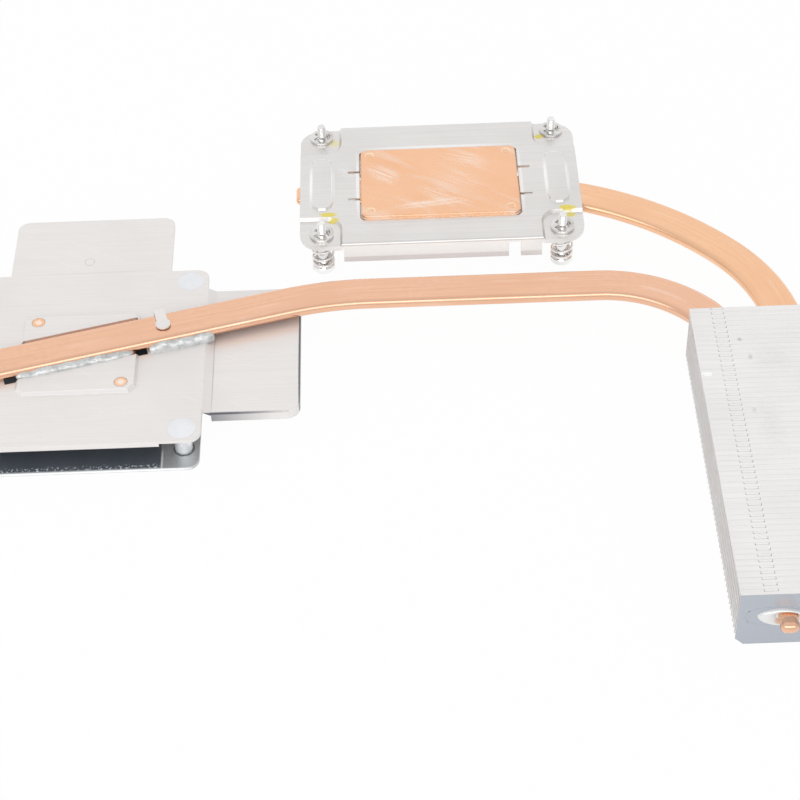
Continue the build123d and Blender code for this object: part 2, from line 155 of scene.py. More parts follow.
class Nodes:
    """A node tree that is being filled, with short calls for its nodes and links."""

    def __init__(self, owner: Material | bpy.types.World) -> None:
        """Empty the owner's node tree and work in it.

        Args:
            owner: the material or world.
        """
        owner.use_nodes = True
        self.tree = owner.node_tree
        self.tree.nodes.clear()

    def feed(self, socket: Socket, value: object) -> None:
        """Link a socket into another, or set a constant on it.

        Args:
            socket: the input to fill.
            value: an output socket, a number or a tuple.
        """
        if isinstance(value, Socket):
            self.tree.links.new(value, socket)
        else:
            socket.default_value = value

    def node(self, kind: str, inputs: dict[str | int, object], **settings: object) -> Node:
        """Add a node.

        Args:
            kind: its type, without the word that all types start with.
            inputs: what its inputs are fed with, by name or number.
            settings: its other properties.

        Returns:
            The node.
        """
        node = self.tree.nodes.new("ShaderNode" + kind)
        for name, value in settings.items():
            setattr(node, name, value)
        for key, value in inputs.items():
            self.feed(node.inputs[key], value)
        return node

    def ramp(self, value: Socket, low: float, high: float, start: float, end: float) -> Socket:
        """Map low to start and high to end, held beyond them."""
        ends = {"From Min": low, "From Max": high, "To Min": start, "To Max": end}
        return self.node("MapRange", {"Value": value, **ends}).outputs["Result"]

    def math(self, kind: str, first: object, second: object = 0.0) -> Socket:
        """One step of arithmetic on two sockets or numbers, by the operation's name."""
        return self.node("Math", {0: first, 1: second}, operation=kind).outputs["Value"]

    def vector(self, kind: str, first: object, second: object, result: str = "Vector") -> Socket:
        """One step of arithmetic on two vectors, by the operation's name."""
        return self.node("VectorMath", {0: first, 1: second}, operation=kind).outputs[result]

    def blend(self, share: Socket, first: Node, second: Node) -> Socket:
        """Mix two shaders, where a share of 0 gives the first and 1 the second."""
        inputs = {"Fac": share, 1: first.outputs[0], 2: second.outputs[0]}
        return self.node("MixShader", inputs).outputs[0]


class Graph(Nodes):
    """A material's nodes, with short calls for what the finishes share."""

    def __init__(self, name: str, place: Place = Place.PART) -> None:
        """Start a material with one principled shader.

        Args:
            name: the material's name.
            place: the coordinates that its textures use.
        """
        self.material = bpy.data.materials.new(name)
        super().__init__(self.material)
        self.shader = self.node("BsdfPrincipled", {})
        self.node("OutputMaterial", {"Surface": self.shader.outputs["BSDF"]})
        self.place = self.node("TexCoord", {}).outputs[place.value]

    def mapped(self, scale: Point, turn: float = 0.0, shift: Point = (0.0, 0.0, 0.0)) -> Socket:
        """The coordinates moved so that a point is at zero, then turned about Z and scaled.

        Args:
            scale: the factor for each axis.
            turn: degrees about Z.
            shift: the point that becomes zero, in metres.

        Returns:
            The mapped vector.
        """
        moved = self.vector("SUBTRACT", self.place, shift)
        angles = (0.0, 0.0, math.radians(-turn))
        turned = self.node("Mapping", {"Vector": moved, "Rotation": angles})
        return self.vector("MULTIPLY", turned.outputs["Vector"], scale)

    def axis(self, name: str) -> Socket:
        """One axis of the coordinates, by its letter."""
        return self.node("SeparateXYZ", {0: self.place}).outputs[name]

    def noise(self, scale: float, detail: float, where: Socket | None = None) -> Socket:
        """Fractal noise on the plain coordinates or on another vector."""
        inputs = {"Vector": where or self.place, "Scale": scale, "Detail": detail}
        return self.node("TexNoise", inputs).outputs["Fac"]

    def patches(self, patch: Patch, where: Socket | None = None) -> Socket:
        """The mask of a patchy noise: its strength inside the patches and 0 outside."""
        value = self.noise(patch.scale, patch.detail, where)
        return self.ramp(value, patch.low, patch.high, 0.0, patch.strength)

    def scratches(self, lines: Scratches) -> Socket:
        """The mask of scratches, broken along their length."""
        drawn = self.noise(1.0, 2.0, self.mapped(lines.scale, lines.turn))
        drawn = self.ramp(drawn, lines.low, lines.high, 0.0, 1.0)
        return self.math("MULTIPLY", drawn, self.patches(SCRATCH_BREAKS))

    def tint(self, mask: Socket, plain: object, marked: object) -> Socket:
        """Blend two colours by a mask.

        Args:
            mask: 0 gives plain and 1 gives marked.
            plain: a colour or socket.
            marked: a colour or socket.

        Returns:
            The blended colour.
        """
        node = self.node("Mix", {"Factor": mask}, data_type="RGBA")
        for name, value in (("A", plain), ("B", marked)):
            socket = next(s for s in node.inputs if s.name == name and s.type == "RGBA")
            self.feed(socket, value if isinstance(value, Socket) else (*value, 1.0))
        return next(s for s in node.outputs if s.type == "RGBA")

    def spot(self, mark: Mark) -> Socket:
        """The mask of a mark.

        Args:
            mark: the mark.

        Returns:
            Its strength inside and 0 outside.
        """
        size = (1 / MM / mark.reach[0], 1 / MM / mark.reach[1], 0.0)
        middle = (mark.middle[0] * MM, mark.middle[1] * MM, 0.0)
        off = self.vector("LENGTH", self.mapped(size, mark.turn, middle), (0.0, 0.0, 0.0), "Value")
        uneven = self.math("SUBTRACT", self.noise(MARK_EDGE_SCALE, 3.0), 0.5)
        far = self.math("ADD", off, self.math("MULTIPLY", uneven, 2.0 * mark.ragged))
        if mark.ring:
            side = self.math("ABSOLUTE", self.math("SUBTRACT", far, 1.0 - mark.ring / 2))
            mask = self.ramp(side, 0.25 * mark.ring, 0.5 * mark.ring, mark.strength, 0.0)
        else:
            mask = self.ramp(far, MARK_FADE - mark.soft, MARK_FADE, mark.strength, 0.0)
        if mark.streaked:
            lines = self.patches(STREAKS, self.mapped(STREAK_SCALE, mark.turn))
            mask = self.math("MULTIPLY", mask, lines)
        if mark.levels:
            height = self.axis("Z")
            for level, (below, above) in zip(mark.levels, ((0.0, 1.0), (1.0, 0.0))):
                ends = (level * MM - LEVEL_FADE, level * MM + LEVEL_FADE)
                mask = self.math("MULTIPLY", mask, self.ramp(height, *ends, below, above))
        return mask

    def marked(
        self, colour: Socket, metal: object, marks: tuple[Mark, ...]
    ) -> tuple[Socket, object]:
        """Lay marks over a colour and take the metal away under them.

        Args:
            colour: the colour without marks.
            metal: the metal share without marks.
            marks: what lies on the surface, and painted highlights and shade.

        Returns:
            The colour and the metal share.
        """
        for mark in marks:
            spot = self.spot(mark)
            colour = self.tint(spot, colour, mark.colour)
            metal = self.math("MULTIPLY", metal, self.ramp(spot, 0.0, 1.0, 1.0, 0.0))
        return colour, metal

    def relief(self, height: Socket, depth: float, rounding: float) -> None:
        """Feed the shader's normal with a bump, over rounded edges where they are asked for.

        Args:
            height: the bump's height map.
            depth: how deep a height of 1 is, in metres.
            rounding: the radius that sharp edges show, in metres, or 0.
        """
        inputs = {"Strength": 1.0, "Distance": depth, "Height": height}
        if rounding:
            edge = self.node("Bevel", {"Radius": rounding}, samples=BEVEL_SAMPLES)
            inputs["Normal"] = edge.outputs["Normal"]
        self.feed(self.shader.inputs["Normal"], self.node("Bump", inputs).outputs["Normal"])

    def finish(self, colour: Socket, metal: object, rough: Socket) -> Material:
        """Feed the shader's colour, metal share and roughness.

        Args:
            colour: the colour.
            metal: the metal share.
            rough: the roughness.

        Returns:
            The material.
        """
        for name, value in (("Base Color", colour), ("Metallic", metal), ("Roughness", rough)):
            self.feed(self.shader.inputs[name], value)
        return self.material


@dataclass(frozen=True)
class RolledSheet:
    """Bare sheet metal with rolling lines, handling smudges, fine specks and marks, and painted
    highlights and shade.

    Attributes:
        name: the material's name.
        colour: its clean colour.
        shade: the colour of its lines and smudges.
        gloss: roughness where it is cleanest and where it is dullest.
        grain: the direction of its lines.
        depth: the lines' depth in metres.
        rounding: the radius of its sharp edges in metres.
        marks: what is inked or stamped on it, and painted highlights and shade.
        last_sheet_painted_shade: where a stack's last sheet ends, in metres along Y, and the darker
            colour painted on it as shade on the stack's near face.
        metal: the share of it that mirrors like bare metal.
        worn_metal: how much of that is left where it is worn.
        smudge: the handling smudges.
        specks: the fine specks.
        wipes: the pale wipe streaks.
        wiped: how strong they are.
        wipe_colour: their colour.
    """

    name: str
    colour: Colour
    shade: Colour
    gloss: Span = (0.26, 0.42)
    grain: Grain = Grain.ALONG_X
    depth: float = 2.5e-6
    rounding: float = 0.15 * MM
    marks: tuple[Mark, ...] = ()
    last_sheet_painted_shade: tuple[float, Colour] | None = None
    metal: float = 1.0
    worn_metal: float = 0.85
    smudge: Patch = Patch(48.0, 5.0, 0.45, 0.75, 0.55)
    specks: Patch = Patch(1300.0, 1.0, 0.70, 0.80, 0.6)
    wipes: Scratches = Scratches(-34.0, (70.0, 1300.0, 60.0), 0.56, 0.74)
    wiped: float = 0.15
    wipe_colour: Colour = (0.97, 0.965, 0.96)

    def build(self) -> Material:
        """Make the material.

        Returns:
            The new material.
        """
        graph = Graph(self.name)
        lines = graph.noise(7.0, 4.0, graph.mapped(self.grain.value))
        worn = graph.math("MAXIMUM", graph.patches(self.smudge), graph.patches(self.specks))
        colour = graph.tint(graph.ramp(lines, 0.3, 0.7, 0.0, 0.5), self.colour, self.shade)
        colour = graph.tint(worn, colour, self.shade)
        wipes = graph.math("MULTIPLY", graph.scratches(self.wipes), self.wiped)
        colour = graph.tint(wipes, colour, self.wipe_colour)
        metal = graph.ramp(worn, 0.0, 1.0, self.metal, self.worn_metal * self.metal)
        colour, metal = graph.marked(colour, metal, self.marks)
        # paint the stack's last sheet darker and bluer, as shade on its near face
        if self.last_sheet_painted_shade:
            edge, painted_shade = self.last_sheet_painted_shade
            last = graph.ramp(graph.axis("Y"), edge, edge + 0.05 * MM, 1.0, 0.0)
            colour = graph.tint(last, colour, painted_shade)
        fine, broad = graph.math("MULTIPLY", lines, 0.6), graph.math("MULTIPLY", worn, 0.7)
        dull = graph.math("ADD", fine, broad)
        graph.relief(graph.math("ADD", lines, graph.noise(500.0, 2.0)), self.depth, self.rounding)
        return graph.finish(colour, metal, graph.ramp(dull, 0.1, 0.9, *self.gloss))


@dataclass(frozen=True)
class WipedCopper:
    """Lapped copper with milky wipe smears and fine slanted scratches.

    Attributes:
        name: the material's name.
        colour: its clean colour.
        shade: its tarnish.
        milk: the colour of the smears.
        marks: painted highlight rings round the clinch dents, and wiped spots.
        gloss: roughness where it is clean and where it is smeared.
        depth: the scratches' depth in metres.
        rounding: the radius of its sharp edges in metres.
        tarnish: the tarnished patches.
        smear: the smears, which run along the thin scratches.
        smear_scale: their scale along them, across them and upwards.
        thin: the scratches from wiping.
        cross: the scratches across them.
        scratched: how strong both are.
    """

    name: str
    colour: Colour
    shade: Colour
    milk: Colour
    marks: tuple[Mark, ...] = ()
    gloss: Span = (0.24, 0.46)
    depth: float = 3e-6
    rounding: float = 0.35 * MM
    tarnish: Patch = Patch(70.0, 5.0, 0.42, 0.72, 0.55)
    smear: Patch = Patch(1.0, 4.0, 0.52, 0.74, 0.8)
    smear_scale: Point = (60.0, 330.0, 60.0)
    thin: Scratches = Scratches(-32.0, (90.0, 2600.0, 60.0), 0.60, 0.74)
    cross: Scratches = Scratches(14.0, (110.0, 2400.0, 60.0), 0.66, 0.78)
    scratched: float = 0.6

    def build(self) -> Material:
        """Make the material.

        Returns:
            The new material.
        """
        graph = Graph(self.name)
        smear = graph.patches(self.smear, graph.mapped(self.smear_scale, self.thin.turn))
        lines = graph.math("MAXIMUM", graph.scratches(self.thin), graph.scratches(self.cross))
        scratch = graph.math("MULTIPLY", lines, self.scratched)
        white = graph.math("MAXIMUM", smear, scratch)
        colour = graph.tint(graph.patches(self.tarnish), self.colour, self.shade)
        colour = graph.tint(white, colour, self.milk)
        colour, metal = graph.marked(colour, 1.0, self.marks)
        height = graph.math("SUBTRACT", graph.noise(900.0, 3.0), scratch)
        graph.relief(height, self.depth, self.rounding)
        return graph.finish(colour, metal, graph.ramp(white, 0.0, 0.8, *self.gloss))


@dataclass(frozen=True)
class DrawnCopper:
    """Drawn copper tube: fine lines along it, a mottled tarnish and small pale rubs.

    Attributes:
        name: the material's name.
        colour: its clean colour.
        shade: its tarnish.
        rub: the colour where it was rubbed bright.
        gloss: roughness where it is cleanest and where it is dullest.
        depth: the lines' depth in metres.
        mottle: the fine tarnish.
        broad: the broad tarnish.
        rubs: the rubbed places.
        rub_scale: their scale along the tube, round it and upwards.
    """

    name: str
    colour: Colour
    shade: Colour
    rub: Colour
    gloss: Span = (0.17, 0.30)
    depth: float = 2.5e-6
    mottle: Patch = Patch(700.0, 3.0, 0.40, 0.70, 0.35)
    broad: Patch = Patch(45.0, 4.0, 0.40, 0.70, 0.5)
    rubs: Patch = Patch(1.0, 3.0, 0.60, 0.76, 0.6)
    rub_scale: Point = (55.0, 420.0, 1.0)

    def build(self) -> Material:
        """Make the material.

        Returns:
            The new material.
        """
        graph = Graph(self.name, Place.TUBE)
        lines = graph.noise(6.0, 4.0, graph.mapped(Grain.ALONG_TUBE.value))
        dark = graph.math("MAXIMUM", graph.patches(self.mottle), graph.patches(self.broad))
        colour = graph.tint(graph.ramp(lines, 0.35, 0.7, 0.0, 0.6), self.colour, self.shade)
        colour = graph.tint(dark, colour, self.shade)
        rubs = graph.patches(self.rubs, graph.mapped(self.rub_scale))
        colour = graph.tint(rubs, colour, self.rub)
        dull = graph.math("ADD", graph.math("MULTIPLY", lines, 0.5), dark)
        graph.relief(graph.math("ADD", lines, graph.noise(1500.0, 2.0)), self.depth, 0.0)
        return graph.finish(colour, 1.0, graph.ramp(dull, 0.1, 0.9, *self.gloss))


@dataclass(frozen=True)
class Bright:
    """Solder or plating: bright metal with small pits and a cloudy skin.

    Attributes:
        name: the material's name.
        colour: its clean colour.
        shade: the colour of its pits and cloudy parts.
        gloss: roughness where it is clean and where it is cloudy.
        grit: its pits per metre.
        depth: how deep they are, in metres.
        metal: the share of it that mirrors like bare metal.
    """

    name: str
    colour: Colour
    shade: Colour
    gloss: Span
    grit: float
    depth: float
    metal: float = 1.0

    def build(self) -> Material:
        """Make the material.

        Returns:
            The new material.
        """
        graph = Graph(self.name)
        pits = graph.noise(self.grit, 4.0)
        cloud = graph.patches(Patch(0.25 * self.grit, 4.0, 0.42, 0.7, 0.7))
        mask = graph.math("MAXIMUM", cloud, graph.ramp(pits, 0.58, 0.74, 0.0, 0.8))
        graph.relief(pits, self.depth, 0.0)
        colour = graph.tint(mask, self.colour, self.shade)
        return graph.finish(colour, self.metal, graph.ramp(mask, 0.0, 0.8, *self.gloss))


@dataclass(frozen=True)
class Film:
    """Smooth dark plastic film with dust specks.

    Attributes:
        name: the material's name.
        colour: its colour.
        dust: the colour of the dust on it.
        gloss: roughness where it is clean and where it is dusty.
        depth: its waves' depth in metres.
        rounding: the radius of its sharp edges in metres.
        near: its near edge, where crumbs gather, in millimetres.
        rim: how far in they lie.
        crumb_colour: their colour.
        haze: the thin dust.
        specks: the dust specks.
        crumbs: the crumbs.
    """

    name: str
    colour: Colour
    dust: Colour
    gloss: Span = (0.30, 0.5)
    depth: float = 6e-6
    rounding: float = 0.05 * MM
    near: float = -77.1
    rim: float = 1.3
    crumb_colour: Colour = (0.75, 0.78, 0.82)
    haze: Patch = Patch(120.0, 5.0, 0.40, 0.80, 0.35)
    specks: Patch = Patch(1500.0, 1.0, 0.74, 0.80, 0.9)
    crumbs: Patch = Patch(1900.0, 1.0, 0.56, 0.66)

    def build(self) -> Material:
        """Make the material.

        Returns:
            The new material.
        """
        graph = Graph(self.name)
        mask = graph.math("MAXIMUM", graph.patches(self.haze), graph.patches(self.specks))
        ends = (self.near * MM, (self.near + self.rim) * MM)
        rim = graph.ramp(graph.axis("Y"), *ends, 1.0, 0.0)
        crumbs = graph.math("MULTIPLY", rim, graph.patches(self.crumbs))
        graph.relief(graph.noise(300.0, 3.0), self.depth, self.rounding)
        colour = graph.tint(mask, self.colour, self.dust)
        colour = graph.tint(crumbs, colour, self.crumb_colour)
        return graph.finish(colour, 0.0, graph.ramp(mask, 0.0, 0.8, *self.gloss))


def ease(share: float) -> float:
    """A share held between 0 and 1, with a soft start and end."""
    share = min(max(share, 0.0), 1.0)
    return share * share * (3 - 2 * share)


def mesh_piece(
    mesh: bpy.types.Mesh, body: str, material: Material, node: str | None
) -> bpy.types.Object:
    """Put a mesh into the scene as a smooth piece that rides on a body, under the mesh's name.

    Args:
        mesh: its mesh.
        body: the body that it moves with.
        material: its finish.
        node: the CAD node that it stands for, or None.

    Returns:
        The new object.
    """
    piece = bpy.data.objects.new(mesh.name, mesh)
    bpy.context.scene.collection.objects.link(piece)
    mesh.materials.append(material)
    mesh.shade_smooth()
    mesh.set_sharp_from_angle(angle=SHARP_ANGLE)
    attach(piece, body)
    if node:
        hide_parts(node)
    LOG.info("%s on %s: %d faces", mesh.name, body, len(mesh.polygons))
    return piece


def closed_mesh(name: str, skin: bmesh.types.BMesh) -> bpy.types.Mesh:
    """Turn a skin's faces outwards and make it a mesh.

    Args:
        name: the mesh's name.
        skin: its faces, which are used up.

    Returns:
        The new mesh.
    """
    bmesh.ops.recalc_face_normals(skin, faces=skin.faces)
    mesh = bpy.data.meshes.new(name)
    skin.to_mesh(mesh)
    skin.free()
    return mesh


def skin_mesh(name: str, rows: list[Ring]) -> bpy.types.Mesh:
    """Join rings of points into one closed skin, with its length and girth as coordinates.

    Args:
        name: the mesh's name.
        rows: rings of points in metres, all of one length.

    Returns:
        The new mesh.
    """
    skin = bmesh.new()
    layer = skin.loops.layers.uv.new("UVMap")
    rings = [[skin.verts.new(p) for p in row] for row in rows]
    count = len(rows[0])
    middles = [sum(row, Vector()) / count for row in rows]
    widest = max(rows, key=lambda row: (row[0] - row[count // 2]).length)
    girth = [0.0]
    for i in range(count):
        girth.append(girth[-1] + (widest[(i + 1) % count] - widest[i]).length)
    along = 0.0
    for index in range(len(rings) - 1):
        this, after = rings[index], rings[index + 1]
        ahead = along + (middles[index + 1] - middles[index]).length
        for i in range(count):
            j = (i + 1) % count
            face = skin.faces.new((this[i], this[j], after[j], after[i]))
            places = ((along, i), (along, i + 1), (ahead, i + 1), (ahead, i))
            for loop, (length, turn) in zip(face.loops, places):
                loop[layer].uv = (length, girth[turn])
        along = ahead
    skin.faces.new(list(reversed(rings[0])))
    skin.faces.new(rings[-1])
    return closed_mesh(name, skin)


@dataclass
class HeatPipe:
    """A flattened copper tube on straight runs and bends, with a crimped start and a necked end.

    Attributes:
        node: the CAD node that it stands for.
        start: where the full section starts, in millimetres.
        heading: its first direction in degrees.
        legs: straight lengths and right-hand bends as (length, radius, turn).
        width: the full section's width.
        thick: the full section's thickness.
        level: the height of its middle.
        crimp: width, thickness, taper and straight length of its closed start.
        neck: the same of its filling end.
        neck_aside: how far its filling end sits to the left of its middle.
        straight_step: the most that rings lie apart on a straight run, in millimetres.
        bend_step: the most that rings lie apart in a bend, in degrees.
        arc_steps: faces round each of its narrow sides.
        taper_steps: rings along a taper.
        round_steps: rings round an end.
    """

    node: str
    start: Span
    heading: float
    legs: tuple[Point, ...]
    width: float = 8.5
    thick: float = 2.6
    level: float = -3.3
    crimp: tuple[float, float, float, float] = (5.0, 2.0, 2.4, 0.9)
    neck: tuple[float, float, float, float] = (3.6, 2.5, 3.0, 4.4)
    neck_aside: float = 2.85
    straight_step: float = 3.0
    bend_step: float = 2.0
    arc_steps: int = 12
    taper_steps: int = 8
    round_steps: int = 6

    def stations(self) -> list[Station]:
        """Points along the route.

        Returns:
            Each point's x and y in millimetres and its heading in degrees.
        """
        x, y = self.start
        turned = self.heading
        found = [(x, y, turned)]
        for length, radius, turn in self.legs:
            steps = max(2, int(turn / self.bend_step if turn else length / self.straight_step))
            for _ in range(steps):
                if turn:
                    cx = x + radius * math.sin(math.radians(turned))
                    cy = y - radius * math.cos(math.radians(turned))
                    turned -= turn / steps
                    x = cx - radius * math.sin(math.radians(turned))
                    y = cy + radius * math.cos(math.radians(turned))
                else:
                    x += length / steps * math.cos(math.radians(turned))
                    y += length / steps * math.sin(math.radians(turned))
                found.append((x, y, turned))
        return found

    def ring(self, station: Station, width: float, thick: float) -> Ring:
        """One outline of the tube, with flat broad sides and round narrow ones.

        Args:
            station: its middle, and the tube's direction in degrees.
            width: its width.
            thick: its thickness.

        Returns:
            The outline's points in metres.
        """
        x, y, heading = station
        radius = thick / 2
        reach = width / 2 - radius
        side = (-math.sin(math.radians(heading)), math.cos(math.radians(heading)))
        points = []
        for half in (1, -1):
            for step in range(self.arc_steps + 1):
                angle = math.radians(180 * step / self.arc_steps - 90)
                out = half * (reach + radius * math.cos(angle))
                level = self.level + half * radius * math.sin(angle)
                points.append(Vector((x + out * side[0], y + out * side[1], level)) * MM)
        return points

    def end_rings(
        self, station: Station, shape: tuple[float, float, float, float], aside: float = 0.0
    ) -> list[Ring]:
        """The outlines of a sealed end, from the full section outwards.

        Args:
            station: where the full section ends, and the direction outwards in degrees.
            shape: width, thickness, taper length and straight length.
            aside: how far it ends up to the left.

        Returns:
            The outlines in order.
        """
        width, thick, taper, straight = shape
        cuts = []
        for step in range(1, self.taper_steps + 1):
            share = step / self.taper_steps
            done = ease(share)
            wide = self.width + (width - self.width) * done
            high = self.thick + (thick - self.thick) * done
            cuts.append((taper * share, aside * done, wide, high))
        rounding = min(0.5 * thick, 0.9 * straight)
        base = taper + straight - rounding
        cuts.append((base, aside, width, thick))
        for step in range(1, self.round_steps + 1):
            angle = math.radians(90 * step / self.round_steps)
            less = 2 * rounding * (1 - math.cos(angle))
            high = max(thick - less, 0.05)
            cuts.append((base + rounding * math.sin(angle), aside, width - less, high))
        x, y, heading = station
        cosine, sine = math.cos(math.radians(heading)), math.sin(math.radians(heading))
        rings = []
        for far, left, wide, high in cuts:
            place = (x + far * cosine - left * sine, y + far * sine + left * cosine, heading)
            rings.append(self.ring(place, wide, high))
        return rings

    def build(self, material: Material) -> None:
        """Make the tube in place of its CAD node.

        Args:
            material: its finish.
        """
        route = self.stations()
        x, y, heading = route[0]
        back = self.end_rings((x, y, heading + 180), self.crimp)
        rows = [list(reversed(ring)) for ring in reversed(back)]
        rows += [self.ring(station, self.width, self.thick) for station in route]
        rows += self.end_rings(route[-1], self.neck, self.neck_aside)
        mesh = skin_mesh(self.node + "_tube", rows)
        mesh_piece(mesh, BODY, material, self.node)


@dataclass
class ColdPlate:
    """The processor's copper plate, with rounded edges and four pressed clinch dents.

    Attributes:
        node: the CAD node that it stands for.
        half: its half width and half depth in millimetres.
        corner: its corners' radius.
        thick: its thickness; its top is at zero.
        rounding: the radius of its top edge.
        round_steps: faces round that edge.
        dent: a dent's x and y in each corner, its radius and its depth.
        dent_reach: how far the fine part of the top's grid goes, as a share of a dent's radius.
        flat: how far the coarse part goes, as a share of the plate.
        margin: from the plate's edge to the grid's last line.
        steps: coarse and fine grid lines to each side of a middle.
        foot: how far its foot reaches out in front, towards the opening's edge.
        foot_levels: the height above its foot, and the foot's top.
    """

    node: str = "cpu_cold_plate"
    half: Span = (18.0, 12.0)
    corner: float = 1.6
    thick: float = 2.0
    rounding: float = 0.4
    round_steps: int = 6
    dent: tuple[float, float, float, float] = (15.9, 9.9, 1.0, 0.3)
    dent_reach: float = 1.15
    flat: float = 0.92
    margin: float = 0.8
    steps: tuple[int, int] = (9, 11)
    foot: float = 0.26
    foot_levels: Span = (-0.7, -0.8)

    def spread(self, middle: float, reach: float, steps: int) -> set[float]:
        """Even places to both sides of a middle."""
        return {round(middle + reach * (i / steps - 1), 3) for i in range(2 * steps + 1)}

    def lines(self, half: float, middle: float) -> list[float]:
        """Where the top's grid lines lie along one axis, close together at the dents.

        Args:
            half: the plate's half size on the axis.
            middle: the dents' place on the axis.

        Returns:
            The places in order.
        """
        reach = self.dent[2] * self.dent_reach
        places = self.spread(0.0, half * self.flat, self.steps[0])
        places |= {self.margin - half, half - self.margin}
        places = {p for p in places if abs(abs(p) - middle) > reach + 0.05}
        for side in (-middle, middle):
            places |= self.spread(side, reach, self.steps[1])
        return sorted(places)

    def level(self, x: float, y: float) -> float:
        """The top's height at a place."""
        off = math.hypot(abs(x) - self.dent[0], abs(y) - self.dent[1]) / self.dent[2]
        return -self.dent[3] * ease((1.05 - off) / 0.45)

    def rim(self, x: float, y: float, inset: float, level: float) -> Vector:
        """The point of the outline that is nearest to a place, moved in and set at a height.

        Args:
            x: the place.
            y: the place.
            inset: how far it is moved in.
            level: its height.

        Returns:
            The point in metres.
        """
        near = [min(max(p, self.corner - h), h - self.corner) for p, h in zip((x, y), self.half)]
        out = Vector((x - near[0], y - near[1], 0)).normalized()
        in_front = out.y < 0 and level <= self.foot_levels[1]
        flare = self.foot * min(-1.6 * out.y, 1.0) if in_front else 0.0
        return (Vector((*near, level)) + out * (self.corner - inset + flare)) * MM

    def build(self, material: Material) -> None:
        """Make the plate in place of its CAD node.

        Args:
            material: its finish.
        """
        skin = bmesh.new()
        columns, rows = (self.lines(self.half[axis], self.dent[axis]) for axis in (0, 1))
        grid = [
            [skin.verts.new(Vector((x, y, self.level(x, y))) * MM) for x in columns] for y in rows
        ]
        right, top = len(columns) - 1, len(rows) - 1
        for j in range(top):
            for i in range(right):
                corners = (grid[j][i], grid[j][i + 1], grid[j + 1][i + 1], grid[j + 1][i])
                skin.faces.new(corners)
        edge = [(i, 0) for i in range(right)] + [(right, j) for j in range(top)]
        edge += [(i, top) for i in range(right, 0, -1)] + [(0, j) for j in range(top, 0, -1)]
        loop = [grid[j][i] for i, j in edge]
        turns = [math.radians(90 * step / self.round_steps) for step in range(self.round_steps + 1)]
        r = self.rounding
        cuts = [(r * (1 - math.sin(turn)), -r * (1 - math.cos(turn))) for turn in turns]
        cuts += [(0.0, level) for level in (*self.foot_levels, -self.thick)]
        for inset, level in cuts:
            ring = [skin.verts.new(self.rim(columns[i], rows[j], inset, level)) for i, j in edge]
            for k in range(len(ring)):
                skin.faces.new((loop[k - 1], loop[k], ring[k], ring[k - 1]))
            loop = ring
        skin.faces.new(loop)
        mesh_piece(closed_mesh("contact_plate", skin), BODY, material, self.node)


@dataclass
class Turned:
    """A piece that is turned about an upright axis.

    Attributes:
        number: its number, 1 to 4.
        x: where it stands, in millimetres.
        y: where it stands, in millimetres.
        sides: points round it.
    """

    number: int
    x: float
    y: float
    sides: int = 40

    def point(self, radius: float, angle: float, level: float) -> Vector:
        """A point by its distance from the axis.

        Args:
            radius: that distance.
            angle: its angle in degrees.
            level: its height.

        Returns:
            The point in metres.
        """
        turn = math.radians(angle)
        across, ahead = radius * math.cos(turn), radius * math.sin(turn)
        return Vector((self.x + across, self.y + ahead, level)) * MM

    def circle(self, radius: float, level: float) -> Ring:
        """A ring of points round the axis."""
        return [self.point(radius, 360 * i / self.sides, level) for i in range(self.sides)]

    def lathe(self, profile: Iterable[Span]) -> list[Ring]:
        """A ring for each radius and height."""
        return [self.circle(radius, level) for radius, level in profile]


